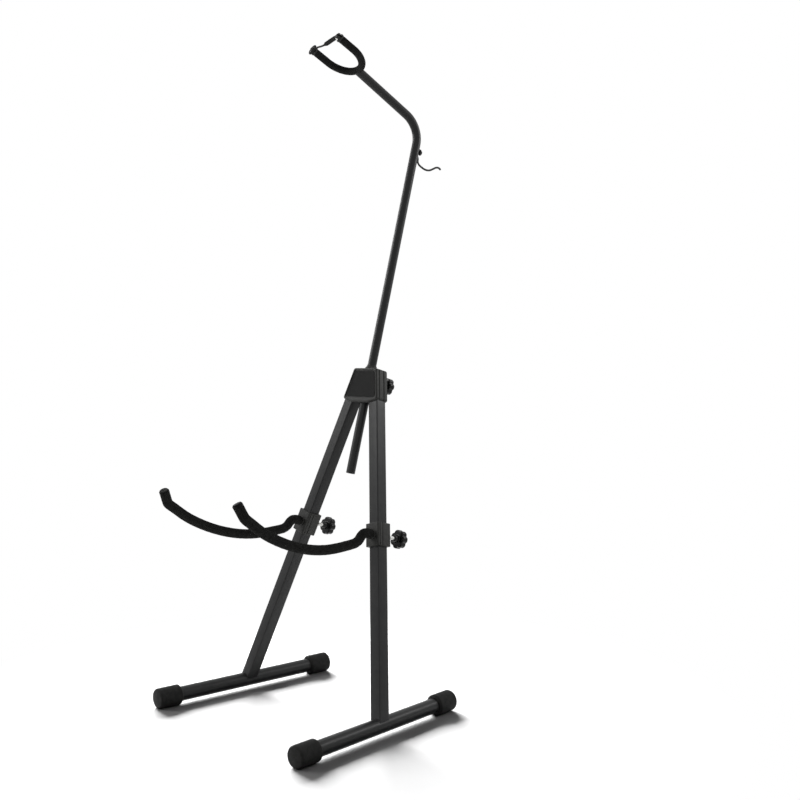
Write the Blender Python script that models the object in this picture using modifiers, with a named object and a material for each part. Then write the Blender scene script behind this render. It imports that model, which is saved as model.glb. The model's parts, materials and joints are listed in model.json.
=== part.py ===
# Folding double bass stand: two square legs on long foot bars, a moulded head
# casing, a bent neck tube with a padded yoke, two padded body arms and a bow hook.
# Run with: blender --background --python part.py
# Units are metres, +Z is up and the player's side, where the bass stands, is -Y.

import math

import bmesh
import bpy
from mathutils import Matrix, Vector

# Driving dimensions of the frame
LEG_LEAN = math.radians(14.2)          # the plane of the two legs leans back
LEG_HALF_ANGLE = math.radians(15.4)    # each open leg from the middle, in that plane
LEG_PIVOT_HEIGHT = 0.700               # fold pivots above the foot bars, in that plane
LEG_PIVOT_OFFSET = 0.0296              # each pivot from the middle
LEG_SIZE = 0.027
LEG_WALL = 0.0015
LEG_CORNER = 0.0020
LEG_ABOVE_PIVOT = 0.010
LEG_MITRE_START = 0.0022               # outer top corner is cut from here up

BAR_DIAMETER = 0.0315
BAR_WALL = 0.0015
BAR_FRONT = 0.2335                     # leg axis to the front end of its cap
BAR_REAR = 0.224

CAP_DIAMETER = 0.044
CAP_LENGTH = 0.058
CAP_BORE_DEPTH = 0.044
CAP_FLAT_DEPTH = 0.0008
CAP_CHAMFER = 0.0045                   # around the end that the bar goes into
CAP_DOME = 0.0020
CAP_EDGE = 0.005

# Head casing, whose outline follows the open legs
CASING_LEG_COVER = 0.0407              # down each leg, below its pivot
CASING_FLAT_WIDTH = 0.0534             # level middle of the lower edge
CASING_ABOVE_PIVOT = 0.036
CASING_WALL = 0.003
CASING_DEPTH = 0.036
CASING_FRONT_DEPTH = 0.0095
CASING_BACK_DEPTH = 0.0121
CASING_CORNER = 0.005
CASING_EDGE = 0.0009
PANEL_MARGIN = 0.0045
PANEL_DEPTH = 0.0010
PANEL_BELOW_PIVOT = 0.032

BOLT_DIAMETER = 0.006
BOLT_HEAD_ACROSS = 0.010
BOLT_HEAD_HEIGHT = 0.004
BOLT_HEAD_SINK = 0.0026
PIVOT_NUT_HEIGHT = 0.0020
CASING_SCREW_DIAMETER = 0.003
CASING_SCREW_HEAD = 0.006
CASING_SCREW_HEAD_HEIGHT = 0.0022
CASING_SCREW_CROWN = 0.0036
CASING_SCREW_SPACING = 0.048
CASING_SCREW_HEIGHT = 0.0236
CASING_BOSS_DIAMETER = 0.007

# Neck tube
NECK_TUBE_DIAMETER = 0.020
NECK_TUBE_WALL = 0.0015
NECK_TILT = math.radians(1.1)          # tube against the plane of the legs
NECK_OFFSET = 0.0009                   # tube axis behind that plane, at the pivots
NECK_BELOW_PIVOT = 0.2025
NECK_ABOVE_PIVOT = 0.627               # pivots to the corner of the bend
NECK_BEND_RADIUS = 0.060
NECK_UPPER_RISE = math.radians(30.5)   # forward reach above the horizontal
NECK_UPPER_LENGTH = 0.203              # corner of the bend to the rod of the yoke
NECK_SWIVEL = math.radians(-7.6)       # as set: the tube stands turned in its collar
COLLAR_BASE_DIAMETER = 0.0285
COLLAR_TOP_DIAMETER = 0.0222
COLLAR_HEIGHT = 0.009
COLLAR_HUB_DIAMETER = 0.0244

# Yoke for the neck of the bass
YOKE_RADIUS = 0.0515
YOKE_PRONG_LENGTH = 0.0365
YOKE_RISE = math.radians(27.8)         # prongs above the horizontal
YOKE_ROD_DIAMETER = 0.008
YOKE_FOAM_DIAMETER = 0.0168
TIP_CAP_DIAMETER = 0.0190
TIP_CAP_LENGTH = 0.0134
TIP_CAP_BASE = 0.0042
TIP_CAP_EDGE = 0.0010
TIP_CAP_NECK_DIAMETER = 0.0140
TIP_CAP_NECK_ROUND = 0.0043            # how far down its rounded end reaches
TIP_CAP_CROWN_DIAMETER = 0.0080        # flat middle of that end
TIP_CAP_BORE_DEPTH = 0.0018
STRAP_AXIS = 0.0080                    # rivet and ring above the end of the foam
STRAP_THICKNESS = 0.003
STRAP_TAB_WIDTH = 0.010
STRAP_TAB_LENGTH = 0.052
STRAP_TAPER_LENGTH = 0.009
STRAP_TAB_END_WIDTH = 0.0044
STRAP_CORD_OVERLAP = 0.0036            # how far the cord runs into the tab
STRAP_CORD_DIAMETER = 0.004
STRAP_RING_DIAMETER = 0.0202
STRAP_SAG = 0.005                      # of its middle, below the line of the two caps
RIVET_DIAMETER = 0.003
RIVET_HEAD_DIAMETER = 0.0056
RIVET_HEAD_HEIGHT = 0.0012
RIVET_CROWN_DIAMETER = 0.0034

# Bow hook
HOOK_WIRE_DIAMETER = 0.0046
HOOK_BELOW_BEND = 0.0141                # screw below the start of the tube's bend
HOOK_EYE_RADIUS = 0.0058
HOOK_EYE_DROP = 0.0069                 # straight wire below the middle of the eye
HOOK_EYE_DRAW = 0.0011                 # which draws in towards the hook by this much
HOOK_SCREW_DIAMETER = 0.006
HOOK_SCREW_HEAD_DIAMETER = 0.0115
HOOK_SCREW_HEAD_HEIGHT = 0.0040
HOOK_SCREW_HEAD_ROUND = 0.0012

# Arms that carry the body of the bass
SLEEVE_SIZE = 0.038
SLEEVE_HEIGHT = 0.050
RIGHT_ARM_ALONG_LEG = 0.3865           # as set: from the foot bar to the sleeve's middle
LEFT_ARM_ALONG_LEG = 0.3908
SLEEVE_CHAMFER = 0.003
SLEEVE_GROOVE_WIDTH = 0.0020
SLEEVE_GROOVE_DEPTH = 0.0012
SLEEVE_GROOVES = (0.005, 0.013)        # behind the front face
SOCKET_DIAMETER = 0.0170
SOCKET_LENGTH = 0.003
ARM_ROD_DIAMETER = 0.010
ARM_FOAM_DIAMETER = 0.021
ARM_FOAM_CLEAR = 0.0005                # bare rod between the socket and the foam
ARM_SPLAY = math.radians(2.6)
ARM_PLUG_THICKNESS = 0.002
ARM_PLUG_DIAMETER = 0.0192
ARM_PLUG_END_DIAMETER = 0.0174

# Clamp knobs and their screws
KNOB_DIAMETER = 0.041
KNOB_THICKNESS = 0.014
KNOB_LOBES = 7
KNOB_LOBE_DEPTH = 0.0026
KNOB_EDGE = 0.0016
KNOB_HUB_DIAMETER = 0.0170
KNOB_HUB_END_DIAMETER = 0.0144
KNOB_HUB_LENGTH = 0.012
ARM_KNOB_STANDOFF = 0.026              # back face of the sleeve to its knob's hub
NECK_KNOB_STANDOFF = 0.020             # back face of the casing to its knob's hub
CLAMP_HEIGHT = 0.010                   # neck clamp above the fold pivots
CLAMP_SCREW_DIAMETER = 0.008
CLAMP_SCREW_CHAMFER = 0.0012
CLAMP_NUT_ACROSS = 0.013
CLAMP_NUT_HEIGHT = 0.0028

# Fits
GAP = 0.0003                           # between pieces that touch
RUNNING = 0.0003                       # radial room around what turns or slides
PRESSED_DEPTH = 0.008                  # how far a clamp screw goes into its knob
CUT = 0.010                            # how far a cutter reaches past a face

# Shape counts
ROUND_SIDES = 24
CAP_SIDES = 24
SMALL_SIDES = 12
BEND_STEPS = 9                         # rings of the neck tube's bend
YOKE_STEPS = 16
EYE_STEPS = 8
ARM_STEP = 0.018                       # between the rings of an arm, where it is straight
ARM_CLOSEST = 0.0043                    # closer rings would fold the foam inside its bends
HOOK_STEP = 0.006
FINE_STEP = 0.0015
RING_TURN = math.radians(9)            # between the rings of a bend

# Worked out from the driving dimensions
PIVOT_ALONG_LEG = LEG_PIVOT_HEIGHT / math.cos(LEG_HALF_ANGLE)
BAR_AXIS_HEIGHT = CAP_DIAMETER / 2 - CAP_FLAT_DEPTH
CASING_INNER = LEG_SIZE / 2 + GAP
CASING_OUTER = CASING_INNER + CASING_WALL
CASING_CORNER_OUT = (LEG_PIVOT_OFFSET + CASING_LEG_COVER * math.sin(LEG_HALF_ANGLE)
                     + CASING_OUTER * math.cos(LEG_HALF_ANGLE))
CASING_CORNER_DOWN = (CASING_LEG_COVER * math.cos(LEG_HALF_ANGLE)
                      - CASING_OUTER * math.sin(LEG_HALF_ANGLE))
CASING_BELOW_PIVOT = CASING_CORNER_DOWN + ((CASING_CORNER_OUT - CASING_FLAT_WIDTH / 2)
                                           * math.tan(LEG_HALF_ANGLE))
GUIDE_WIDTH = 2 * (LEG_PIVOT_OFFSET - GAP - LEG_SIZE / 2 * math.cos(LEG_HALF_ANGLE)
                   - LEG_ABOVE_PIVOT * math.sin(LEG_HALF_ANGLE))
CASING_CAVITY_DEPTH = LEG_SIZE / 2 + GAP
BAR_SPLAY = math.atan(math.tan(LEG_HALF_ANGLE) * math.sin(LEG_LEAN))
SLEEVE_BORE = LEG_SIZE + 2 * RUNNING
SLEEVE_WALL = (SLEEVE_SIZE - SLEEVE_BORE) / 2
NECK_RADIUS = NECK_TUBE_DIAMETER / 2
FOAM_END = YOKE_RADIUS + YOKE_PRONG_LENGTH

# Bent shape of an arm: forward of the socket and above it, seen from the side
ARM_ROUTE = (
    (0.0173, 0.0044),
    (0.0237, 0.0043),
    (0.0294, 0.0013),
    (0.0399, -0.0086),
    (0.0473, -0.0121),
    (0.0623, -0.0144),
    (0.0795, -0.0157),
    (0.0966, -0.0167),
    (0.1134, -0.0170),
    (0.1300, -0.0166),
    (0.1627, -0.0130),
    (0.2000, -0.0047),
    (0.2500, 0.0131),
    (0.2970, 0.0378),
    (0.3250, 0.0582),
    (0.3320, 0.0632),
    (0.3355, 0.0658),
    (0.3381, 0.0684),
    (0.3400, 0.0714),
    (0.3420, 0.0758),
    (0.3521, 0.0980),
)
ARM_TIP_INWARD = 0.0076                # the turned-up end also leans inward
ARM_TIP_START = 0.3385
ARM_TIP_RUN = 0.0136

# Bent shape of the bow hook: behind the tube's axis and above the screw
HOOK_ROUTE = (
    (0.0127, -0.0160),
    (0.0140, -0.0230),
    (0.0186, -0.0277),
    (0.0270, -0.0305),
    (0.0385, -0.0320),
    (0.0500, -0.0295),
    (0.0610, -0.0215),
    (0.0690, -0.0150),
    (0.0760, -0.0128),
    (0.0830, -0.0150),
)


# Scene and materials

def clear_scene():
    for thing in list(bpy.context.scene.objects):
        bpy.data.objects.remove(thing, do_unlink=True)


def new_collection(name, parent):
    collection = bpy.data.collections.new(name)
    parent.children.link(collection)
    return collection


def make_material(name, colour, roughness, metallic):
    material = bpy.data.materials.new(name)
    material.use_nodes = True
    shader = material.node_tree.nodes["Principled BSDF"]
    shader.inputs["Base Color"].default_value = (*colour, 1.0)
    shader.inputs["Roughness"].default_value = roughness
    shader.inputs["Metallic"].default_value = metallic
    material.diffuse_color = (*colour, 1.0)
    return material


clear_scene()
PARTS = new_collection("double_bass_stand", bpy.context.scene.collection)
CUTTERS = new_collection("cutters", bpy.context.scene.collection)
STEEL = make_material("black_powder_coat", (0.024, 0.024, 0.025), 0.42, 0.0)
PLASTIC = make_material("black_moulding", (0.030, 0.030, 0.028), 0.50, 0.0)
KNOB_PLASTIC = make_material("glossy_knob", (0.010, 0.010, 0.011), 0.25, 0.0)
FOAM = make_material("black_foam", (0.012, 0.012, 0.012), 0.95, 0.0)
RUBBER = make_material("black_rubber", (0.022, 0.022, 0.022), 0.75, 0.0)
ZINC = make_material("zinc_plating", (0.62, 0.62, 0.60), 0.35, 1.0)


# Objects and frames

def make_empty(name, parent, location=(0, 0, 0), rotation=(0, 0, 0)):
    empty = bpy.data.objects.new(name, None)
    empty.empty_display_size = 0.03
    PARTS.objects.link(empty)
    empty.parent = parent
    empty.location = location
    empty.rotation_euler = rotation
    return empty


def turn_to_world(empty, rotation):
    bpy.context.view_layer.update()
    place = empty.matrix_world.translation.copy()
    empty.matrix_world = Matrix.Translation(place) @ rotation.to_4x4()


def shade_round(mesh, angle=35):
    mesh.shade_smooth()
    mesh.set_sharp_from_angle(angle=math.radians(angle))


def place(name, mesh, material, parent, location=(0, 0, 0), rotation=(0, 0, 0)):
    shade_round(mesh)
    mesh.materials.clear()
    mesh.materials.append(material)
    thing = bpy.data.objects.new(name, mesh)
    PARTS.objects.link(thing)
    thing.parent = parent
    thing.location = location
    thing.rotation_euler = rotation
    return thing


def place_cutter(name, mesh, parent, location=(0, 0, 0), rotation=(0, 0, 0)):
    thing = bpy.data.objects.new(name + "_cutter", mesh)
    CUTTERS.objects.link(thing)
    thing.parent = parent
    thing.location = location
    thing.rotation_euler = rotation
    thing.hide_render = True
    thing.display_type = "WIRE"
    return thing


def boolean(thing, other, operation="DIFFERENCE"):
    modifier = thing.modifiers.new(other.name, "BOOLEAN")
    modifier.operation = operation
    modifier.solver = "EXACT"
    modifier.object = other


def solidify(thing, thickness):
    modifier = thing.modifiers.new("wall", "SOLIDIFY")
    modifier.thickness = thickness
    modifier.offset = -1.0
    modifier.use_even_offset = True


def hollow_out(thing, outer, inner, resolution):
    # A soft sleeve from an open wall; its flat sides are what leaves room inside.
    sides = 4 + 2 * resolution
    solidify(thing, outer * math.cos(math.pi / sides) - inner - GAP)


def bevel(thing, width, segments=2, angle=40):
    modifier = thing.modifiers.new("edges", "BEVEL")
    modifier.width = width
    modifier.segments = segments
    modifier.limit_method = "ANGLE"
    modifier.angle_limit = math.radians(angle)
    modifier.use_clamp_overlap = True


# Meshes

def to_mesh(name, bm):
    mesh = bpy.data.meshes.new(name)
    bm.to_mesh(mesh)
    bm.free()
    return mesh


def box_mesh(name, low, high):
    bm = bmesh.new()
    bmesh.ops.create_cube(bm, size=1.0)
    low = Vector(low)
    high = Vector(high)
    bmesh.ops.scale(bm, vec=high - low, verts=bm.verts)
    bmesh.ops.translate(bm, vec=(low + high) / 2, verts=bm.verts)
    return to_mesh(name, bm)


def rod_mesh(name, radius, start, end, sides=SMALL_SIDES, axis="Y", radius_end=None, turned=0.0):
    # A capped cylinder or cone from start to end along an axis, through its frame's origin.
    bm = bmesh.new()
    last = radius if radius_end is None else radius_end
    bmesh.ops.create_cone(bm, cap_ends=True, segments=sides, radius1=radius, radius2=last,
                          depth=end - start)
    bmesh.ops.rotate(bm, matrix=Matrix.Rotation(turned, 3, "Z"), verts=bm.verts)
    bmesh.ops.translate(bm, vec=(0, 0, (start + end) / 2), verts=bm.verts)
    if axis == "Y":
        bmesh.ops.rotate(bm, matrix=Matrix.Rotation(-math.pi / 2, 3, "X"), verts=bm.verts)
    if axis == "X":
        bmesh.ops.rotate(bm, matrix=Matrix.Rotation(math.pi / 2, 3, "Y"), verts=bm.verts)
    return to_mesh(name, bm)


def open_tube_mesh(name, radius, start, end, sides=ROUND_SIDES):
    # An open cylinder wall along Y, for a Solidify modifier to thicken.
    bm = bmesh.new()
    bmesh.ops.create_cone(bm, cap_ends=False, segments=sides, radius1=radius, radius2=radius,
                          depth=end - start)
    bmesh.ops.translate(bm, vec=(0, 0, (start + end) / 2), verts=bm.verts)
    bmesh.ops.rotate(bm, matrix=Matrix.Rotation(-math.pi / 2, 3, "X"), verts=bm.verts)
    return to_mesh(name, bm)


def square_tube_mesh(name, size, corner, start, end):
    # The open wall of a square tube along Z with rounded corners.
    bm = bmesh.new()
    bmesh.ops.create_cube(bm, size=1.0)
    bmesh.ops.scale(bm, vec=(size, size, end - start), verts=bm.verts)
    bmesh.ops.translate(bm, vec=(0, 0, (start + end) / 2), verts=bm.verts)
    ends = [face for face in bm.faces if abs(face.normal.z) > 0.5]
    bmesh.ops.delete(bm, geom=ends, context="FACES_ONLY")
    upright = [edge for edge in bm.edges
               if abs(edge.verts[0].co.z - edge.verts[1].co.z) > (end - start) / 2]
    bmesh.ops.bevel(bm, geom=upright, offset=corner, segments=3, profile=0.5, affect="EDGES")
    return to_mesh(name, bm)


def plate_mesh(name, outline, thickness):
    # A flat outline in X and Z, extruded evenly either side of Y = 0.
    curve = bpy.data.curves.new(name, "CURVE")
    curve.dimensions = "2D"
    curve.fill_mode = "BOTH"
    curve.extrude = thickness / 2
    spline = curve.splines.new("POLY")
    spline.points.add(len(outline) - 1)
    for point, (x, z) in zip(spline.points, outline):
        point.co = (x, z, 0, 1)
    spline.use_cyclic_u = True
    mesh = mesh_of_curve(name, curve)
    mesh.transform(Matrix.Rotation(math.pi / 2, 4, "X"))
    return mesh


def mesh_of_curve(name, curve):
    return evaluated_mesh(name, bpy.data.objects.new(name + "_outline", curve))


def wire_mesh(name, points, radius, resolution=3, caps=True):
    # A round bar or an open wall that follows a list of points.
    curve = bpy.data.curves.new(name, "CURVE")
    curve.dimensions = "3D"
    curve.bevel_depth = radius
    curve.bevel_resolution = resolution
    curve.use_fill_caps = caps
    spline = curve.splines.new("POLY")
    spline.points.add(len(points) - 1)
    for spot, point in zip(spline.points, points):
        spot.co = (*point, 1)
    return mesh_of_curve(name, curve)


def evaluated_mesh(name, holder):
    CUTTERS.objects.link(holder)
    depsgraph = bpy.context.evaluated_depsgraph_get()
    mesh = bpy.data.meshes.new_from_object(holder.evaluated_get(depsgraph))
    mesh.name = name
    bpy.data.objects.remove(holder, do_unlink=True)
    bm = bmesh.new()
    bm.from_mesh(mesh)
    bmesh.ops.remove_doubles(bm, verts=bm.verts, dist=0.00001)
    bmesh.ops.recalc_face_normals(bm, faces=bm.faces)
    bm.to_mesh(mesh)
    bm.free()
    return mesh


def turned_mesh(name, profile, sides=ROUND_SIDES):
    # A turned solid about Y; its profile is (radius, y) points that run down the outer side.
    count = len(profile)
    edges = [(index, index + 1) for index in range(count - 1)]
    if profile[0][0] > 0:
        edges.append((count - 1, 0))
    outline = bpy.data.meshes.new(name)
    outline.from_pydata([(radius, 0, height) for radius, height in profile], edges, [])
    holder = bpy.data.objects.new(name + "_outline", outline)
    screw = holder.modifiers.new("turn", "SCREW")
    screw.axis = "Z"
    screw.steps = sides
    screw.render_steps = sides
    screw.use_merge_vertices = True
    screw.merge_threshold = 0.00001
    mesh = evaluated_mesh(name, holder)
    mesh.transform(Matrix.Rotation(-math.pi / 2, 4, "X"))
    return mesh


# Outlines and routes

def rounded(corners, radius, steps=3):
    # The outline through the corners, each rounded by an arc.
    outline = []
    for before, corner, after in zip(corners[-1:] + corners[:-1], corners,
                                     corners[1:] + corners[:1]):
        corner = Vector(corner)
        back = (Vector(before) - corner).normalized()
        ahead = (Vector(after) - corner).normalized()
        half = back.angle(ahead) / 2
        centre = corner + (back + ahead).normalized() * radius / math.sin(half)
        first = corner + back * radius / math.tan(half) - centre
        last = corner + ahead * radius / math.tan(half) - centre
        for step in range(steps + 1):
            share = step / steps
            spoke = (first * (1 - share) + last * share).normalized() * radius
            outline.append(tuple(centre + spoke))
    return outline


def leg_line(height, offset):
    # Where a line beside the right leg, offset outward from its axis, is at a height.
    lean = math.tan(LEG_HALF_ANGLE)
    return LEG_PIVOT_OFFSET - height * lean + offset / math.cos(LEG_HALF_ANGLE)


def casing_outline(offset, low, high, corner):
    # A trapezoid whose sides are parallel to the open legs.
    bottom = leg_line(low, offset)
    top = leg_line(high, offset)
    corners = [(-bottom, low), (bottom, low), (top, high), (-top, high)]
    return rounded(corners, corner) if corner else corners


def shell_outline():
    # The casing from the front: its lower edges lie square across the legs, with a
    # level middle between them.
    top = leg_line(CASING_ABOVE_PIVOT, CASING_OUTER)
    flat = CASING_FLAT_WIDTH / 2
    half = [(flat, -CASING_BELOW_PIVOT), (CASING_CORNER_OUT, -CASING_CORNER_DOWN),
            (top, CASING_ABOVE_PIVOT)]
    return rounded(half + [(-x, z) for x, z in reversed(half)], CASING_CORNER)


def heading(a, b, c):
    # Direction of a smooth curve where it passes through the middle of three points.
    before = (b - a).length
    after = (c - b).length
    return ((b - a) / before * after + (c - b) / after * before) / (before + after)


def smooth_route(points, step):
    # A smooth curve through the points, read at even steps of about the given length.
    points = [Vector(point) for point in points]
    padded = [2 * points[0] - points[1]] + points + [2 * points[-1] - points[-2]]
    fine = []
    for a, b, c, d in zip(padded, padded[1:], padded[2:], padded[3:]):
        start = heading(a, b, c) * (c - b).length
        end = heading(b, c, d) * (c - b).length
        for count in range(12):
            t = count / 12
            fine.append(b + (c - b) * t * t * (3 - 2 * t) + start * t * (1 - t) ** 2
                        - end * t * t * (1 - t))
    fine.append(points[-1])
    lengths = [0.0]
    for before, after in zip(fine, fine[1:]):
        lengths.append(lengths[-1] + (after - before).length)
    pieces = max(2, round(lengths[-1] / step))
    route = []
    index = 0
    for count in range(pieces + 1):
        target = lengths[-1] * count / pieces
        while index < len(lengths) - 2 and lengths[index + 1] < target:
            index += 1
        share = (target - lengths[index]) / (lengths[index + 1] - lengths[index])
        route.append(fine[index].lerp(fine[index + 1], share))
    return route


def sparse_route(route, step, closest=0.0):
    # Fewer points: one for every small turn, and one for every step of a straight run.
    kept = [route[0]]
    ahead = (route[1] - route[0]).normalized()
    for spot, after in zip(route[1:], route[2:]):
        turned = ahead.angle((after - spot).normalized())
        gone = (spot - kept[-1]).length
        if gone > step or (turned > RING_TURN and gone > closest):
            kept.append(spot)
            ahead = (after - spot).normalized()
    return kept + [route[-1]]


def trimmed(route, from_start, from_end):
    # The route without a length at each end.
    def shorten(points, length):
        points = list(points)
        while length > (points[1] - points[0]).length:
            length -= (points[1] - points[0]).length
            points.pop(0)
        points[0] = points[0] + (points[1] - points[0]).normalized() * length
        return points
    ahead = shorten(route, from_start)
    return shorten(ahead[::-1], from_end)[::-1]


# Frames that the pieces are placed in

STAND = make_empty("stand_frame", None)
LEG_PLANE = make_empty("leg_plane", STAND, (0, 0, BAR_AXIS_HEIGHT), (-LEG_LEAN, 0, 0))
HEAD = make_empty("head_frame", LEG_PLANE, (0, 0, LEG_PIVOT_HEIGHT))
NECK = make_empty("neck_axis", HEAD, (0, NECK_OFFSET, 0), (-NECK_TILT, 0, 0))


# Head casing

def shell_cutters(name):
    cavity = casing_outline(CASING_INNER, -CASING_BELOW_PIVOT - CUT,
                            CASING_ABOVE_PIVOT - CASING_WALL, 0)
    neck_hole = rod_mesh(name + "_neck_hole", COLLAR_HUB_DIAMETER / 2 + RUNNING,
                         CASING_ABOVE_PIVOT - 2 * CASING_WALL, CASING_ABOVE_PIVOT + CUT,
                         ROUND_SIDES, "Z")
    return cavity, neck_hole


def make_shell(name, front, back, material):
    # One slice of the casing between two depths, hollow and open below.
    depth = back - front
    shell = place(name, plate_mesh(name, shell_outline(), depth), material, HEAD,
                  (0, (front + back) / 2, 0))
    bevel(shell, CASING_EDGE, 2)
    cavity, neck_hole = shell_cutters(name)
    low = max(front, -CASING_CAVITY_DEPTH) - (CUT if front > -CASING_CAVITY_DEPTH else 0)
    high = min(back, CASING_CAVITY_DEPTH) + (CUT if back < CASING_CAVITY_DEPTH else 0)
    hollow = place_cutter(name + "_hollow", plate_mesh(name, cavity, high - low), HEAD,
                          (0, (low + high) / 2, 0))
    boolean(shell, hollow)
    boolean(shell, place_cutter(name + "_neck", neck_hole, NECK))
    return shell


def drill(thing, name, parent, location, radius, start, end, sides=SMALL_SIDES, axis="Y",
          turned=0.0):
    mesh = rod_mesh(name, radius, start, end, sides, axis, turned=turned)
    boolean(thing, place_cutter(name, mesh, parent, location))


def hexagon_radius(across):
    return across / math.sqrt(3)


def make_casing():
    half = CASING_DEPTH / 2
    front_seam = CASING_FRONT_DEPTH - half
    back_seam = half - CASING_BACK_DEPTH
    front = make_shell("casing_front_shell", -half, front_seam - GAP / 2, PLASTIC)
    back = make_shell("casing_back_shell", back_seam + GAP / 2, half, PLASTIC)
    for side, word in ((1, "right"), (-1, "left")):
        band = make_shell(word + "_casing_band", front_seam + GAP / 2, back_seam - GAP / 2,
                          PLASTIC)
        reach = LEG_PIVOT_HEIGHT
        other = box_mesh(word + "_band_half", (min(0, -side * reach), -reach, -reach),
                         (max(0, -side * reach), reach, reach))
        boolean(band, place_cutter(word + "_band_half", other, HEAD))
    inset = casing_outline(CASING_OUTER - PANEL_MARGIN, -PANEL_BELOW_PIVOT,
                           CASING_ABOVE_PIVOT - PANEL_MARGIN, CASING_CORNER / 2)
    panel = plate_mesh("panel", inset, 2 * PANEL_DEPTH)
    boolean(front, place_cutter("panel", panel, HEAD, (0, -half, 0)))

    nut_radius = hexagon_radius(BOLT_HEAD_ACROSS)
    nut_base = CASING_CAVITY_DEPTH + PIVOT_NUT_HEIGHT + GAP
    for side, word in ((1, "right"), (-1, "left")):
        pivot = (side * LEG_PIVOT_OFFSET, 0, 0)
        drill(front, word + "_nut_pocket", HEAD, pivot, nut_radius + GAP, -nut_base,
              -CASING_CAVITY_DEPTH + CUT / 5, 6)
        drill(back, word + "_bolt_hole", HEAD, pivot, BOLT_DIAMETER / 2 + GAP,
              CASING_CAVITY_DEPTH - CUT, half + CUT)
        drill(back, word + "_bolt_seat", HEAD, pivot, nut_radius + 2 * GAP,
              half - BOLT_HEAD_SINK, half + CUT, ROUND_SIDES)

    boss_top = front_seam - GAP / 2
    screw_root = -CASING_CAVITY_DEPTH + GAP
    for side, word in ((1, "right"), (-1, "left")):
        spot = (side * CASING_SCREW_SPACING / 2, 0, CASING_SCREW_HEIGHT)
        lower = rod_mesh(word + "_front_boss", CASING_BOSS_DIAMETER / 2,
                         -CASING_CAVITY_DEPTH - CASING_WALL / 3, boss_top)
        boolean(front, place_cutter(word + "_front_boss", lower, HEAD, spot), "UNION")
        upper = rod_mesh(word + "_back_boss", CASING_BOSS_DIAMETER / 2,
                         boss_top + GAP, CASING_CAVITY_DEPTH + CASING_WALL / 3)
        boolean(back, place_cutter(word + "_back_boss", upper, HEAD, spot), "UNION")
        drill(front, word + "_screw_bite", HEAD, spot, CASING_SCREW_DIAMETER / 2 + GAP,
              screw_root, boss_top + CUT)
        drill(back, word + "_screw_hole", HEAD, spot, CASING_SCREW_DIAMETER / 2 + GAP,
              boss_top - CUT, half + CUT)
        drill(back, word + "_screw_seat", HEAD, spot, CASING_SCREW_HEAD / 2 + GAP,
              half - CASING_SCREW_HEAD_HEIGHT, half + CUT)

    drill(back, "clamp_screw_hole", HEAD, (0, 0, CLAMP_HEIGHT), CLAMP_SCREW_DIAMETER / 2 + GAP,
          CASING_CAVITY_DEPTH - CUT, half + CUT)
    pocket_high = CASING_CAVITY_DEPTH + CLAMP_NUT_HEIGHT + GAP
    drill(back, "clamp_nut_pocket", HEAD, (0, 0, CLAMP_HEIGHT),
          hexagon_radius(CLAMP_NUT_ACROSS) + GAP, CASING_CAVITY_DEPTH - CUT / 5, pocket_high, 6)


def make_guide():
    # The block between the legs that the neck tube slides through.
    half = GUIDE_WIDTH / 2
    depth = CASING_CAVITY_DEPTH - GAP
    low = -CASING_BELOW_PIVOT + 2 * CASING_WALL
    high = CASING_ABOVE_PIVOT - 2 * CASING_WALL - GAP
    guide = place("neck_guide", box_mesh("neck_guide", (-half, -depth, low),
                                         (half, depth, high)), PLASTIC, HEAD)
    drill(guide, "guide_bore", NECK, (0, 0, 0), NECK_RADIUS + RUNNING, low - CUT, high + CUT,
          ROUND_SIDES, "Z")
    drill(guide, "guide_clamp_hole", HEAD, (0, 0, CLAMP_HEIGHT),
          CLAMP_SCREW_DIAMETER / 2 + GAP, 0, depth + CUT)


def make_pivot_fasteners():
    half = CASING_DEPTH / 2
    radius = hexagon_radius(BOLT_HEAD_ACROSS)
    seat = half - BOLT_HEAD_SINK + GAP
    nut_far = -CASING_CAVITY_DEPTH - PIVOT_NUT_HEIGHT
    for side, word in ((1, "right"), (-1, "left")):
        spot = (side * LEG_PIVOT_OFFSET, 0, 0)
        name = word + "_pivot_bolt"
        shank = rod_mesh(name, BOLT_DIAMETER / 2, nut_far, seat + BOLT_HEAD_HEIGHT / 2)
        bolt = place(name, shank, ZINC, HEAD, spot)
        head = rod_mesh(word + "_bolt_head", radius, seat, seat + BOLT_HEAD_HEIGHT, 6)
        boolean(bolt, place_cutter(word + "_bolt_head", head, HEAD, spot), "UNION")
        name = word + "_pivot_nut"
        nut = place(name, rod_mesh(name, radius, nut_far, -CASING_CAVITY_DEPTH, 6), ZINC,
                    HEAD, spot)
        drill(nut, word + "_nut_thread", HEAD, spot, BOLT_DIAMETER / 2 + RUNNING,
              nut_far - CUT, 0)


def make_casing_screws():
    seat = CASING_DEPTH / 2 - CASING_SCREW_HEAD_HEIGHT + GAP
    top = seat + CASING_SCREW_HEAD_HEIGHT
    end = -CASING_CAVITY_DEPTH + 2 * GAP
    head = CASING_SCREW_HEAD / 2
    radius = CASING_SCREW_DIAMETER / 2
    profile = [(0, top), (CASING_SCREW_CROWN / 2, top),
               (head, top - CASING_SCREW_HEAD_HEIGHT / 2),
               (head, seat), (radius, seat), (radius, end + radius), (0, end)]
    for side, word in ((1, "right"), (-1, "left")):
        name = word + "_casing_screw"
        place(name, turned_mesh(name, profile, SMALL_SIDES), ZINC, HEAD,
              (side * CASING_SCREW_SPACING / 2, 0, CASING_SCREW_HEIGHT))


# Clamp knobs with their screws and nuts

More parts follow.
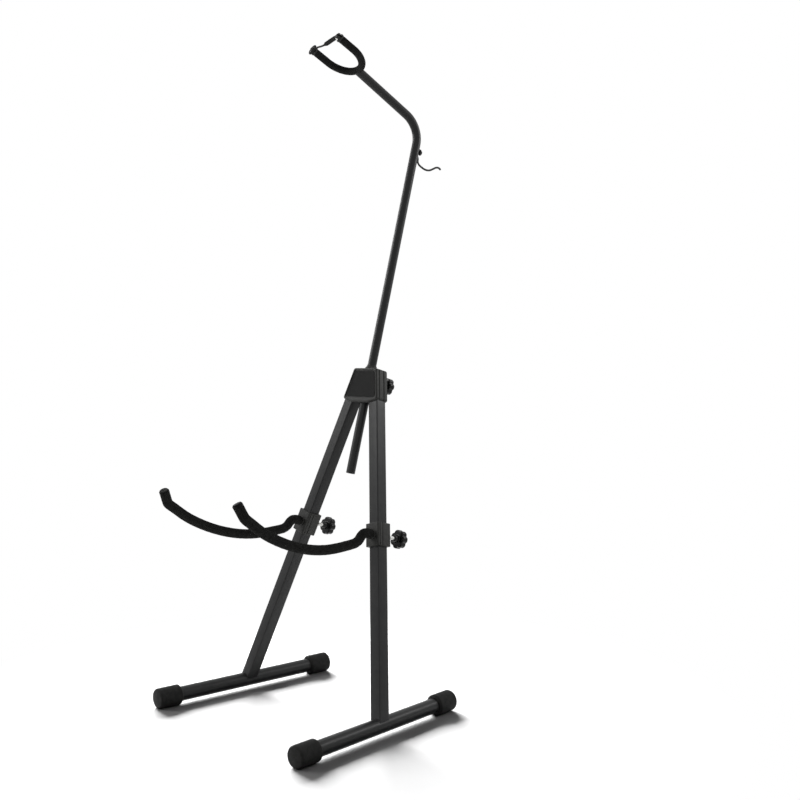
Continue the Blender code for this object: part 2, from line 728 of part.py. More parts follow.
def knob_outline():
    outline = []
    per_lobe = 6
    count = KNOB_LOBES * per_lobe
    for step in range(count):
        angle = math.tau * step / count
        dip = (0.5 - 0.5 * math.cos(KNOB_LOBES * angle)) ** 2.2
        radius = KNOB_DIAMETER / 2 - KNOB_LOBE_DEPTH * dip
        outline.append((radius * math.cos(angle), radius * math.sin(angle)))
    return outline


def make_clamp(prefix, parent, height, face, tip, nut_seat, standoff):
    # Knob, screw and nut behind a face, all on one axis along +Y.
    hub = face + standoff
    front = hub + KNOB_HUB_LENGTH
    axis = make_empty(prefix + "_clamp_axis", parent, (0, 0, height))
    knob = place(prefix + "_knob", plate_mesh(prefix + "_knob", knob_outline(), KNOB_THICKNESS),
                 KNOB_PLASTIC, axis, (0, front + KNOB_THICKNESS / 2, 0))
    bevel(knob, KNOB_EDGE, 2, 60)
    boss = rod_mesh(prefix + "_hub", KNOB_HUB_END_DIAMETER / 2, hub,
                    front + KNOB_EDGE, ROUND_SIDES, radius_end=KNOB_HUB_DIAMETER / 2)
    boolean(knob, place_cutter(prefix + "_hub", boss, axis), "UNION")
    drill(knob, prefix + "_knob_bore", axis, (0, 0, 0), CLAMP_SCREW_DIAMETER / 2 + GAP,
          hub - CUT, hub + PRESSED_DEPTH + GAP)
    radius = CLAMP_SCREW_DIAMETER / 2
    profile = [(0, hub + PRESSED_DEPTH), (radius, hub + PRESSED_DEPTH),
               (radius, tip + CLAMP_SCREW_CHAMFER), (radius - CLAMP_SCREW_CHAMFER, tip),
               (0, tip)]
    place(prefix + "_clamp_screw", turned_mesh(prefix + "_clamp_screw", profile, SMALL_SIDES),
          ZINC, axis)
    name = prefix + "_clamp_nut"
    nut = place(name, rod_mesh(name, hexagon_radius(CLAMP_NUT_ACROSS), nut_seat,
                               nut_seat + CLAMP_NUT_HEIGHT, 6), ZINC, parent, (0, 0, height))
    drill(nut, prefix + "_nut_bore", axis, (0, 0, 0), radius + RUNNING, nut_seat - CUT,
          nut_seat + CUT)
    return axis


# Neck collar, tube and yoke

def make_collar():
    # Swivel ring on top of the casing, around the neck tube.
    bore = NECK_RADIUS + RUNNING
    top = CASING_ABOVE_PIVOT + GAP
    profile = [(bore, top + COLLAR_HEIGHT), (COLLAR_TOP_DIAMETER / 2, top + COLLAR_HEIGHT),
               (COLLAR_BASE_DIAMETER / 2, top + COLLAR_HEIGHT / 4),
               (COLLAR_BASE_DIAMETER / 2, top + GAP),
               (COLLAR_HUB_DIAMETER / 2, top + GAP),
               (COLLAR_HUB_DIAMETER / 2, top - CASING_WALL), (bore, top - CASING_WALL)]
    mesh = turned_mesh("neck_collar", profile)
    mesh.transform(Matrix.Rotation(math.pi / 2, 4, "X"))
    place("neck_collar", mesh, PLASTIC, NECK)


def forward_direction(rise):
    # Unit direction forward of the tube, in its frame, at an angle above the horizontal.
    angle = rise - LEG_LEAN - NECK_TILT
    return Vector((0, -math.cos(angle), math.sin(angle)))


def turn_ahead(ahead):
    # Rotation of a frame whose Y points ahead and whose X stays across the stand.
    across = Vector((1, 0, 0))
    return Matrix((across, ahead, across.cross(ahead))).transposed().to_euler()


def neck_bend():
    # How far the tube turns, and where its bend starts.
    turn = Vector((0, 0, 1)).angle(forward_direction(NECK_UPPER_RISE))
    return turn, NECK_ABOVE_PIVOT - NECK_BEND_RADIUS * math.tan(turn / 2)


def neck_route():
    # Straight tube, one bend and the straight upper part.
    turn, start = neck_bend()
    centre = Vector((0, -NECK_BEND_RADIUS, start))
    route = [Vector((0, 0, -NECK_BELOW_PIVOT)), Vector((0, 0, 0))]
    for step in range(BEND_STEPS + 1):
        angle = turn * step / BEND_STEPS
        route.append(centre + NECK_BEND_RADIUS * Vector((0, math.cos(angle), math.sin(angle))))
    corner = Vector((0, 0, NECK_ABOVE_PIVOT))
    route.append(corner + forward_direction(NECK_UPPER_RISE) * NECK_UPPER_LENGTH)
    return route


def yoke_route(length):
    # Half circle and two straight prongs in X and Y, opening towards +Y.
    route = [Vector((-YOKE_RADIUS, length, 0))]
    for step in range(YOKE_STEPS + 1):
        angle = math.pi * step / YOKE_STEPS
        route.append(Vector((-YOKE_RADIUS * math.cos(angle),
                             YOKE_RADIUS - YOKE_RADIUS * math.sin(angle), 0)))
    route.append(Vector((YOKE_RADIUS, length, 0)))
    return route


def make_neck():
    frame = make_empty("neck_tube_frame", NECK, (0, 0, 0), (0, 0, NECK_SWIVEL))
    tube = place("neck_tube", wire_mesh("neck_tube", neck_route(), NECK_RADIUS, 6, False),
                 STEEL, frame)
    solidify(tube, NECK_TUBE_WALL)

    ahead = forward_direction(NECK_UPPER_RISE)
    base = Vector((0, 0, NECK_ABOVE_PIVOT)) + ahead * NECK_UPPER_LENGTH
    yoke = make_empty("yoke_frame", frame, base, turn_ahead(forward_direction(YOKE_RISE)))

    rod_end = FOAM_END + TIP_CAP_BORE_DEPTH - GAP
    place("yoke_fork", wire_mesh("yoke_fork", yoke_route(rod_end), YOKE_ROD_DIAMETER / 2, 3),
          STEEL, yoke)
    cope = wire_mesh("yoke_cope", yoke_route(YOKE_RADIUS + CUT),
                     YOKE_ROD_DIAMETER / 2 + GAP, 3)
    boolean(tube, place_cutter("yoke_cope", cope, yoke))

    foam = place("yoke_foam", wire_mesh("yoke_foam", yoke_route(FOAM_END),
                                        YOKE_FOAM_DIAMETER / 2, 3, False), FOAM, yoke)
    hollow_out(foam, YOKE_FOAM_DIAMETER / 2, YOKE_ROD_DIAMETER / 2, 3)
    slot = rod_mesh("foam_slot", NECK_RADIUS + GAP, -CUT, GAP, ROUND_SIDES)
    boolean(foam, place_cutter("foam_slot", slot, frame, base, turn_ahead(ahead)))
    for side, word in ((1, "right"), (-1, "left")):
        make_tip_cap(yoke, side, word)
    make_strap(yoke)
    make_hook(frame, tube)


def make_tip_cap(yoke, side, word):
    # Plastic end of a prong; the right one is slotted for the strap.
    name = word + "_yoke_cap"
    outer = TIP_CAP_DIAMETER / 2
    neck = TIP_CAP_NECK_DIAMETER / 2
    bore = YOKE_ROD_DIAMETER / 2 + GAP
    start = FOAM_END + GAP
    end = FOAM_END + TIP_CAP_LENGTH
    crown = TIP_CAP_CROWN_DIAMETER / 2
    base = FOAM_END + TIP_CAP_BASE
    profile = [(0, end), (crown, end), ((crown + 3 * neck) / 4, end - TIP_CAP_NECK_ROUND / 3),
               (neck, end - TIP_CAP_NECK_ROUND), (neck, base), (outer - TIP_CAP_EDGE, base),
               (outer, base - TIP_CAP_EDGE), (outer, start), (bore, start),
               (bore, FOAM_END + TIP_CAP_BORE_DEPTH), (0, FOAM_END + TIP_CAP_BORE_DEPTH)]
    cap = place(name, turned_mesh(name, profile, ROUND_SIDES), PLASTIC, yoke,
                (side * YOKE_RADIUS, 0, 0))
    if side < 0:
        return
    slot_half = STRAP_THICKNESS / 2 + GAP
    floor = FOAM_END + STRAP_AXIS - STRAP_TAB_WIDTH / 2 - 2 * GAP
    slot = box_mesh("strap_slot", (-TIP_CAP_DIAMETER, floor, -slot_half),
                    (TIP_CAP_DIAMETER, end + CUT, slot_half))
    boolean(cap, place_cutter("strap_slot", slot, yoke, (YOKE_RADIUS, 0, 0)))
    drill(cap, "rivet_hole", yoke, (YOKE_RADIUS, FOAM_END + STRAP_AXIS, 0),
          RIVET_DIAMETER / 2 + GAP, -CUT, CUT, SMALL_SIDES, "Z")


def strap_sag(along):
    # How far the strap hangs at a distance from its rivet; its two ends lie level.
    level = TIP_CAP_DIAMETER / 2
    share = (along - level) / (2 * (YOKE_RADIUS - level))
    return STRAP_SAG * (0.5 - 0.5 * math.cos(math.tau * min(1, max(0, share))))


def strap_tab_mesh():
    # The wide end of the strap, from its rounded end past the rivet to its taper.
    half = STRAP_TAB_WIDTH / 2
    stations = []
    for degrees in (75, 50, 25, 0):
        angle = math.radians(degrees)
        stations.append((-half * math.sin(angle), half * math.cos(angle)))
    straight = STRAP_TAB_LENGTH - STRAP_TAPER_LENGTH
    for step in range(1, 8):
        stations.append((straight * step / 7, half))
    stations.append((STRAP_TAB_LENGTH, STRAP_TAB_END_WIDTH / 2))
    verts = []
    for along, side in stations:
        for y, z in ((-side, -1), (side, -1), (side, 1), (-side, 1)):
            verts.append((-along, y, z * STRAP_THICKNESS / 2 + strap_sag(along)))
    faces = [(3, 2, 1, 0), tuple(range(len(verts) - 4, len(verts)))]
    for station in range(len(stations) - 1):
        for corner in range(4):
            a = 4 * station + corner
            b = 4 * station + (corner + 1) % 4
            faces.append((a, b, b + 4, a + 4))
    bm = bmesh.new()
    spots = [bm.verts.new(vert) for vert in verts]
    for face in faces:
        bm.faces.new([spots[index] for index in face])
    bmesh.ops.recalc_face_normals(bm, faces=bm.faces)
    return to_mesh("neck_strap", bm)


def make_strap(yoke):
    # Gate strap across the open end of the yoke, riveted to the right prong.
    axis = make_empty("strap_axis", yoke, (YOKE_RADIUS, FOAM_END + STRAP_AXIS, 0))
    reach = 2 * YOKE_RADIUS
    minor = STRAP_CORD_DIAMETER / 2
    ring_radius = STRAP_RING_DIAMETER / 2
    strap = place("neck_strap", strap_tab_mesh(), RUBBER, axis)
    start = STRAP_TAB_LENGTH - STRAP_CORD_OVERLAP
    route = []
    for step in range(9):
        along = start + (reach - ring_radius - start) * step / 8
        route.append(Vector((-along, 0, strap_sag(along))))
    cord = wire_mesh("strap_cord", route, minor, 3)
    boolean(strap, place_cutter("strap_cord", cord, axis), "UNION")
    ring = ring_mesh("strap_ring", ring_radius, minor)
    boolean(strap, place_cutter("strap_ring", ring, axis, (-reach, 0, 0)), "UNION")
    drill(strap, "strap_rivet_hole", axis, (0, 0, 0), RIVET_DIAMETER / 2 + RUNNING, -CUT, CUT,
          SMALL_SIDES, "Z")
    head = RIVET_HEAD_DIAMETER / 2
    reach = TIP_CAP_NECK_DIAMETER / 2 + GAP
    radius = RIVET_DIAMETER / 2
    crown = RIVET_CROWN_DIAMETER / 2
    upper = [(0, reach + RIVET_HEAD_HEIGHT), (crown, reach + RIVET_HEAD_HEIGHT),
             (head, reach + RIVET_HEAD_HEIGHT / 3), (head, reach), (radius, reach)]
    profile = upper + [(across, -level) for across, level in reversed(upper)]
    rivet = turned_mesh("strap_rivet", profile, SMALL_SIDES)
    rivet.transform(Matrix.Rotation(math.pi / 2, 4, "X"))
    place("strap_rivet", rivet, ZINC, axis)


def ring_mesh(name, major, minor, around=24, section=10):
    # A round ring about Y.
    profile = []
    for step in range(section):
        angle = math.pi / 2 - math.tau * step / section
        profile.append((major + minor * math.cos(angle), minor * math.sin(angle)))
    return turned_mesh(name, profile, around)


def eye_route(level):
    # Two thirds of a turn around the screw, ending straight down at its left.
    start = math.radians(-60)
    route = []
    for step in range(EYE_STEPS + 1):
        angle = start + (math.pi - start) * step / EYE_STEPS
        route.append(Vector((HOOK_EYE_RADIUS * math.cos(angle), level,
                             HOOK_EYE_RADIUS * math.sin(angle))))
    return route


def make_hook(frame, tube):
    # Wire hook for the bow, with an eye under its shoulder screw.
    axis = make_empty("hook_axis", frame, (0, 0, neck_bend()[1] - HOOK_BELOW_BEND))
    level = NECK_RADIUS + GAP + HOOK_WIRE_DIAMETER / 2
    eye = eye_route(level)
    tail = [eye[-1], Vector((HOOK_EYE_DRAW - HOOK_EYE_RADIUS, level, -HOOK_EYE_DROP))]
    tail += [Vector((0, behind, above)) for behind, above in HOOK_ROUTE]
    wire = sparse_route(smooth_route(tail, FINE_STEP), HOOK_STEP)
    place("bow_hook", wire_mesh("bow_hook", eye + wire[1:], HOOK_WIRE_DIAMETER / 2, 2), STEEL,
          axis)
    radius = HOOK_SCREW_DIAMETER / 2
    head = HOOK_SCREW_HEAD_DIAMETER / 2
    under = level + HOOK_WIRE_DIAMETER / 2 + GAP
    top = under + HOOK_SCREW_HEAD_HEIGHT
    tip = NECK_RADIUS - NECK_TUBE_WALL
    crown = head - 2 * HOOK_SCREW_HEAD_ROUND
    profile = [(0, top), (crown, top), (head - HOOK_SCREW_HEAD_ROUND / 2,
                                        top - HOOK_SCREW_HEAD_ROUND),
               (head, under + HOOK_SCREW_HEAD_ROUND), (head - HOOK_SCREW_HEAD_ROUND / 4, under),
               (radius, under), (radius, tip), (0, tip)]
    place("bow_hook_screw", turned_mesh("bow_hook_screw", profile, SMALL_SIDES), PLASTIC, axis)
    drill(tube, "hook_screw_hole", axis, (0, 0, 0), radius + GAP, 0, NECK_RADIUS + CUT)


# Legs and foot bars

def make_leg(side, word, arm_along_leg):
    leg = make_empty(word + "_leg_frame", HEAD, (side * LEG_PIVOT_OFFSET, 0, 0),
                     (0, -side * LEG_HALF_ANGLE, 0))
    name = word + "_leg_tube"
    tube = place(name, square_tube_mesh(name, LEG_SIZE, LEG_CORNER, -PIVOT_ALONG_LEG,
                                        LEG_ABOVE_PIVOT), STEEL, leg)
    solidify(tube, LEG_WALL)
    drill(tube, word + "_pivot_hole", leg, (0, 0, 0), BOLT_DIAMETER / 2 + RUNNING, -LEG_SIZE,
          LEG_SIZE)
    mitre = box_mesh(word + "_mitre", (min(0, side * CUT), -LEG_SIZE, -LEG_SIZE),
                     (max(0, side * CUT), LEG_SIZE, LEG_SIZE))
    boolean(tube, place_cutter(word + "_mitre", mitre, leg,
                               (side * LEG_SIZE / 2, 0, LEG_MITRE_START),
                               (0, -side * LEG_HALF_ANGLE, 0)))
    bar = make_empty(word + "_bar_frame", leg, (0, 0, -PIVOT_ALONG_LEG))
    turn_to_world(bar, Matrix.Rotation(side * BAR_SPLAY, 3, "Z"))
    cope = rod_mesh(word + "_cope", BAR_DIAMETER / 2 + GAP, -3 * LEG_SIZE, 3 * LEG_SIZE,
                    ROUND_SIDES)
    boolean(tube, place_cutter(word + "_cope", cope, bar))
    hidden = CAP_LENGTH - CAP_BORE_DEPTH + GAP
    name = word + "_foot_bar"
    mesh = open_tube_mesh(name, BAR_DIAMETER / 2, -BAR_FRONT + hidden, BAR_REAR - hidden)
    solidify(place(name, mesh, STEEL, bar), BAR_WALL)
    make_foot_cap(word + "_front_foot_cap", bar, BAR_FRONT, math.pi)
    make_foot_cap(word + "_rear_foot_cap", bar, BAR_REAR, 0)
    make_arm(side, word, leg, arm_along_leg)


def make_foot_cap(name, bar, reach, turn):
    # Rubber cap with a domed end, a chamfered mouth and a small flat to stand on.
    radius = CAP_DIAMETER / 2
    bore = BAR_DIAMETER / 2 + GAP
    start = reach - CAP_LENGTH
    flat = radius - CAP_EDGE
    profile = [(0, reach), (flat / 2, reach - CAP_DOME / 4)]
    steps = 3
    for step in range(steps + 1):
        angle = math.pi / 2 * step / steps
        profile.append((flat + CAP_EDGE * math.sin(angle),
                        reach - CAP_DOME - CAP_EDGE * (1 - math.cos(angle))))
    profile += [(radius, start + CAP_CHAMFER), (radius - CAP_CHAMFER, start), (bore, start),
                (bore, start + CAP_BORE_DEPTH), (0, start + CAP_BORE_DEPTH)]
    cap = place(name, turned_mesh(name, profile, CAP_SIDES), RUBBER, bar, (0, 0, 0),
                (0, 0, turn))
    ground = box_mesh(name + "_flat", (-CAP_DIAMETER, start - CUT, -CAP_DIAMETER),
                      (CAP_DIAMETER, reach + CUT, -BAR_AXIS_HEIGHT))
    boolean(cap, place_cutter(name + "_flat", ground, bar, (0, 0, 0), (0, 0, turn)))


# Body arms on their sliding sleeves

def sleeve_mesh(name):
    half = SLEEVE_SIZE / 2
    corners = [(-half, -half), (half, -half), (half, half), (-half, half)]
    mesh = plate_mesh(name, rounded(corners, SLEEVE_CHAMFER, 2), SLEEVE_HEIGHT)
    mesh.transform(Matrix.Rotation(-math.pi / 2, 4, "X"))
    return mesh


def make_arm(side, word, leg, along_leg):
    sleeve = make_empty(word + "_sleeve_frame", leg, (0, 0, along_leg - PIVOT_ALONG_LEG))
    half = SLEEVE_SIZE / 2
    name = word + "_arm_sleeve"
    body = place(name, sleeve_mesh(name), PLASTIC, sleeve)
    arm = make_empty(word + "_arm_frame", sleeve, (0, -half, 0))
    turn_to_world(arm, Matrix.Rotation(side * ARM_SPLAY, 3, "Z"))
    boss = rod_mesh(word + "_boss", SOCKET_DIAMETER / 2, -SOCKET_LENGTH, SLEEVE_WALL / 2,
                    ROUND_SIDES)
    boolean(body, place_cutter(word + "_boss", boss, arm, (0, 0, 0), (-LEG_LEAN, 0, 0)), "UNION")
    bore = SLEEVE_BORE / 2
    passage = box_mesh(word + "_bore", (-bore, -bore, -SLEEVE_HEIGHT),
                       (bore, bore, SLEEVE_HEIGHT))
    boolean(body, place_cutter(word + "_bore", passage, sleeve))
    socket = rod_mesh(word + "_socket", ARM_ROD_DIAMETER / 2 + GAP, -SOCKET_LENGTH - CUT, CUT)
    boolean(body, place_cutter(word + "_socket", socket, arm, (0, 0, 0), (-LEG_LEAN, 0, 0)))
    for number, back in enumerate(SLEEVE_GROOVES):
        for face in (1, -1):
            low = min(face * half, face * (half - SLEEVE_GROOVE_DEPTH))
            high = max(face * half, face * (half - SLEEVE_GROOVE_DEPTH))
            groove = box_mesh("groove", (low - (CUT if face < 0 else 0), -half + back,
                                         -SLEEVE_HEIGHT),
                              (high + (CUT if face > 0 else 0),
                               -half + back + SLEEVE_GROOVE_WIDTH, SLEEVE_HEIGHT))
            label = f"{word}_groove_{number}_{face + 1}"
            boolean(body, place_cutter(label, groove, sleeve))
    drill(body, word + "_sleeve_screw_hole", sleeve, (0, 0, 0), CLAMP_SCREW_DIAMETER / 2 + GAP,
          0, half + CUT)
    pocket = bore + CLAMP_NUT_HEIGHT + GAP
    drill(body, word + "_sleeve_nut_pocket", sleeve, (0, 0, 0),
          hexagon_radius(CLAMP_NUT_ACROSS) + GAP, bore - CUT / 5, pocket, 6)
    make_clamp(word + "_arm", sleeve, 0, half, LEG_SIZE / 2 + GAP, bore, ARM_KNOB_STANDOFF)

    ahead = Vector((0, -math.cos(LEG_LEAN), math.sin(LEG_LEAN)))
    points = [-ahead * (SLEEVE_WALL - GAP), ahead * SOCKET_LENGTH]
    for forward, above in ARM_ROUTE:
        inward = ARM_TIP_INWARD * max(0, forward - ARM_TIP_START) / ARM_TIP_RUN
        points.append(Vector((-side * inward, -forward, above)))
    route = sparse_route(smooth_route(points, FINE_STEP), ARM_STEP, ARM_CLOSEST)
    end = ARM_PLUG_THICKNESS + GAP
    rod = trimmed(route, 0, end)
    place(word + "_arm_rod", wire_mesh(word + "_arm_rod", rod, ARM_ROD_DIAMETER / 2, 2), STEEL,
          arm)
    covered = trimmed(route, SLEEVE_WALL + SOCKET_LENGTH + ARM_FOAM_CLEAR, end)
    name = word + "_arm_foam"
    foam = place(name, wire_mesh(name, covered, ARM_FOAM_DIAMETER / 2, 3, False), FOAM, arm)
    hollow_out(foam, ARM_FOAM_DIAMETER / 2, ARM_ROD_DIAMETER / 2, 3)
    tip = route[-1]
    facing = (route[-1] - route[-2]).to_track_quat("Y", "Z").to_euler()
    name = word + "_arm_plug"
    plug = rod_mesh(name, ARM_PLUG_DIAMETER / 2, -ARM_PLUG_THICKNESS, 0, SMALL_SIDES,
                    radius_end=ARM_PLUG_END_DIAMETER / 2)
    place(name, plug, RUBBER, arm, tip, facing)


# The whole stand, with its origin under the middle of its bounding box

def recentre():
    bpy.context.view_layer.update()
    depsgraph = bpy.context.evaluated_depsgraph_get()
    low = Vector((math.inf,) * 3)
    high = -low
    for thing in PARTS.objects:
        if thing.type != "MESH":
            continue
        mesh = thing.evaluated_get(depsgraph).to_mesh()
        for vertex in mesh.vertices:
            spot = thing.matrix_world @ vertex.co
            low = Vector(map(min, low, spot))
            high = Vector(map(max, high, spot))
    STAND.location = (0, -(low.y + high.y) / 2, -low.z)
    bpy.context.view_layer.update()


make_casing()
make_guide()
make_pivot_fasteners()
make_casing_screws()
make_clamp("neck", HEAD, CLAMP_HEIGHT, CASING_DEPTH / 2, NECK_OFFSET + NECK_RADIUS + 2 * GAP,
           CASING_CAVITY_DEPTH, NECK_KNOB_STANDOFF)
make_collar()
make_neck()
make_leg(1, "right", RIGHT_ARM_ALONG_LEG)
make_leg(-1, "left", LEFT_ARM_ALONG_LEG)
recentre()
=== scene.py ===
import json
from math import atan, copysign, cos, pi, radians, sin, sqrt, tan, tau

import bmesh
import bpy
from mathutils import Matrix, Vector, noise


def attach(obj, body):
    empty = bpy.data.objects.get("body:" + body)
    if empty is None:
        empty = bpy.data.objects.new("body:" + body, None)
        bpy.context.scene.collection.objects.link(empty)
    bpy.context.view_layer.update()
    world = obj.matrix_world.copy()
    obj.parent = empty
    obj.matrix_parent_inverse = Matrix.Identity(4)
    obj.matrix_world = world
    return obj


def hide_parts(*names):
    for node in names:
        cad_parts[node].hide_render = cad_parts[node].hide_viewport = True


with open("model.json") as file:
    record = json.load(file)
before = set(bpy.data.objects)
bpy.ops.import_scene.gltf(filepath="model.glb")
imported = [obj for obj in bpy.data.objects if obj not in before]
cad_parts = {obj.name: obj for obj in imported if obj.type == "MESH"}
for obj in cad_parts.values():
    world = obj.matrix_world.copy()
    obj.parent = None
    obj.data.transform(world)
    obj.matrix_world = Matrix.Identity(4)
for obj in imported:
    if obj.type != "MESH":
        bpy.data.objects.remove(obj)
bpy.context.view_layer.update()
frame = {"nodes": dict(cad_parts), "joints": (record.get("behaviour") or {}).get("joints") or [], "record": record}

joints = {joint["name"]: joint for joint in frame["joints"]}
slotOf = {row["node"]: row["material_slot"] for row in frame["record"]["subparts"]}
bodyOf = {node: body for body, nodes in frame["record"]["behaviour"]["bodies"].items()
          for node in nodes}
bothSides = (("right", 1), ("left", -1))
mergeDistance = 0.000004
beyond = 0.05  # how far a cutter reaches past what it cuts
overlap = 0.001  # how far a short one does, and how deep joined shapes meet


# Meshes: every shape is made in its own frame and then moved into place

def newMesh(points, faces):
    mesh = bpy.data.meshes.new("mesh")
    mesh.from_pydata([tuple(point) for point in points], [], faces)
    return mesh


def addObject(name, data):
    made = bpy.data.objects.new(name, data)
    bpy.context.scene.collection.objects.link(made)
    return made


def tidy(mesh):
    bm = bmesh.new()
    bm.from_mesh(mesh)
    bmesh.ops.remove_doubles(bm, verts=bm.verts, dist=mergeDistance)
    bmesh.ops.dissolve_degenerate(bm, edges=bm.edges, dist=mergeDistance / 4)
    bmesh.ops.recalc_face_normals(bm, faces=bm.faces)
    bm.to_mesh(mesh)
    bm.free()
    return mesh


def loft(rings, loop=False):  # skins rings of equal count, capped unless they close
    count = len(rings[0])
    points = [point for ring in rings for point in ring]
    faces = []
    for row in range(len(rings) if loop else len(rings) - 1):
        here = row * count
        there = (row + 1) % len(rings) * count
        for place in range(count):
            after = (place + 1) % count
            faces.append((here + place, here + after, there + after, there + place))
    if not loop:
        faces.append(tuple(range(count)))
        faces.append(tuple(range(len(points) - count, len(points))))
    return tidy(newMesh(points, faces))


def around(sides, start=0.0):  # the angles of the points of a ring
    return [tau * (step + start) / sides for step in range(sides)]


def quarter(steps):  # sine and cosine in steps over a quarter turn
    angles = [pi / 2 * step / steps for step in range(steps + 1)]
    return [(sin(angle), cos(angle)) for angle in angles]


def ringAt(level, radii):  # a ring around Y with a radius for each point
    return [(radius * cos(angle), level, radius * sin(angle))
            for radius, angle in zip(radii, around(len(radii)))]


def lathe(profile, sides=64, along="Y"):  # profile is (radius, height) points
    rings = [ringAt(height, [radius] * sides) for radius, height in profile]
    if along == "Z":
        rings = [[(x, z, y) for x, y, z in ring] for ring in rings]
    return loft(rings, profile[0][0] > 0 and profile[-1][0] > 0)


def filleted(points, radius, steps=4):  # rounds the inner corners of an open line
    line = [Vector(points[0])]
    for before, corner, after in zip(points, points[1:], points[2:]):
        corner = Vector(corner)
        back = Vector(before) - corner
        ahead = Vector(after) - corner
        reach = min(radius, back.length * 0.45, ahead.length * 0.45)
        start = corner + back.normalized() * reach
        end = corner + ahead.normalized() * reach
        for step in range(steps + 1):
            share = step / steps
            line.append(start.lerp(corner, share).lerp(corner.lerp(end, share), share))
    line.append(Vector(points[-1]))
    return line


def roundedOutline(corners, radius, steps=8):
    outline = []
    for before, corner, after in zip(corners[-1:] + corners[:-1], corners,
                                     corners[1:] + corners[:1]):
        corner = Vector(corner)
        back = (Vector(before) - corner).normalized()
        ahead = (Vector(after) - corner).normalized()
        half = back.angle(ahead) / 2
        centre = corner + (back + ahead).normalized() * radius / sin(half)
        first = (corner + back * radius / tan(half) - centre).normalized()
        last = (corner + ahead * radius / tan(half) - centre).normalized()
        for step in range(steps + 1):
            outline.append(centre + first.slerp(last, step / steps) * radius)
    return outline


def heading(a, b, c):  # direction of a smooth line at the middle of three points
    before = (b - a).length
    after = (c - b).length
    return ((b - a) / before * after + (c - b) / after * before) / (before + after)


def smoothLine(points, step):  # an even, smooth line through the points
    points = [Vector(point) for point in points]
    ends = [2 * points[0] - points[1]] + points + [2 * points[-1] - points[-2]]
    fine = []
    for a, b, c, d in zip(ends, ends[1:], ends[2:], ends[3:]):
        start = heading(a, b, c) * (c - b).length
        end = heading(b, c, d) * (c - b).length
        for count in range(16):
            t = count / 16
            fine.append(b + (c - b) * t * t * (3 - 2 * t) + start * t * (1 - t) ** 2
                        - end * t * t * (1 - t))
    fine.append(points[-1])
    return evenLine(fine, step)


def evenLine(fine, step):
    lengths = [0.0]
    for before, after in zip(fine, fine[1:]):
        lengths.append(lengths[-1] + (after - before).length)
    pieces = max(2, round(lengths[-1] / step))
    line = []
    index = 0
    for count in range(pieces + 1):
        target = lengths[-1] * count / pieces
        while index < len(lengths) - 2 and lengths[index + 1] < target:
            index += 1
        share = (target - lengths[index]) / (lengths[index + 1] - lengths[index])
        line.append(fine[index].lerp(fine[index + 1], share))
    return line


def shortened(points, length):  # a line without its first stretch
    points = list(points)
    while length > (points[1] - points[0]).length:
        length -= (points[1] - points[0]).length
        points.pop(0)
    points[0] = points[0] + (points[1] - points[0]).normalized() * length
    return points


def trimmed(line, fromStart, fromEnd):
    return shortened(shortened(line, fromStart)[::-1], fromEnd)[::-1]


def sweepRings(line, radii, sides):  # rings around a line that don't twist
    normal = Vector((1, 0.013, 0.007))  # slanted, so that no line runs along it
    rings = []
    for place, point in enumerate(line):
        before = line[max(place - 1, 0)]
        after = line[min(place + 1, len(line) - 1)]
        ahead = (after - before).normalized()
        normal = (normal - ahead * normal.dot(ahead)).normalized()
        side = ahead.cross(normal)
        rings.append([point + (normal * cos(angle) + side * sin(angle)) * radii[place]
                      for angle in around(sides)])
    return rings


def sweep(line, radius, sides):
    return loft(sweepRings(line, [radius] * len(line), sides))


def sweepTube(line, outer, inner, sides):
    wall = sweepRings(line, [outer] * len(line), sides)
    bore = sweepRings(line, [inner] * len(line), sides)
    return loft(wall + bore[::-1], True)


def softEnded(line, radius, rounding, steps):  # points and radii of a rod with a soft far end
    points = list(line)
    arc = quarter(steps)[:-1]
    for _ in range(2):  # both ends get the closer rings, and the far one is soft
        inner = trimmed(points, rounding, 0)
        start = points[0]
        ahead = (points[1] - start).normalized()
        points = [start + ahead * rounding * (1 - cosine) for sine, cosine in arc] + inner
        points.reverse()
    soft = [radius - rounding + rounding * sine for sine, cosine in arc]
    return points, [radius] * (len(points) - steps) + soft[::-1]


def boxMesh(low, high):
    corners = [(x, y, z) for x in (low[0], high[0]) for y in (low[1], high[1])
               for z in (low[2], high[2])]
    faces = [(0, 1, 3, 2), (4, 6, 7, 5), (0, 4, 5, 1), (2, 3, 7, 6), (0, 2, 6, 4), (1, 5, 7, 3)]
    return tidy(newMesh(corners, faces))


def rod(radius, start, end, sides=32, along="Y"):  # a plain round cutter or shank
    return lathe([(0, start), (radius, start), (radius, end), (0, end)], sides, along)


def boltHead(across, start, end, crown):  # a hexagon with its far corners turned down
    rings = []
    levels = [(start, 0.0)] + [(end - crown + crown * step / 4, step / 4) for step in range(5)]
    for level, share in levels:
        limit = across / 2 * (1.1547 - 0.2 * share)
        radii = []
        for angle in around(72):
            turn = (angle + pi / 6) % (pi / 3) - pi / 6
            radii.append(min(across / 2 / cos(turn), limit))
        rings.append(ringAt(level, radii))
    return loft(rings)


def cut(mesh, cutters, operation="DIFFERENCE"):
    holder = addObject("cut", mesh)
    tools = [addObject("cutter", cutter) for cutter in cutters]
    for tool in tools:
        modifier = holder.modifiers.new("cut", "BOOLEAN")
        modifier.operation = operation
        modifier.solver = "EXACT"
        modifier.object = tool
    bpy.context.view_layer.update()
    graph = bpy.context.evaluated_depsgraph_get()
    result = bpy.data.meshes.new_from_object(holder.evaluated_get(graph))
    for used in (holder, *tools):
        bpy.data.objects.remove(used, do_unlink=True)
    return tidy(result)


def moved(mesh, matrix):
    mesh.transform(matrix)
    return mesh


def nodeOf(name):  # rightArmKnob gives right_arm_knob
    return "".join("_" + letter.lower() if letter.isupper() else letter for letter in name)


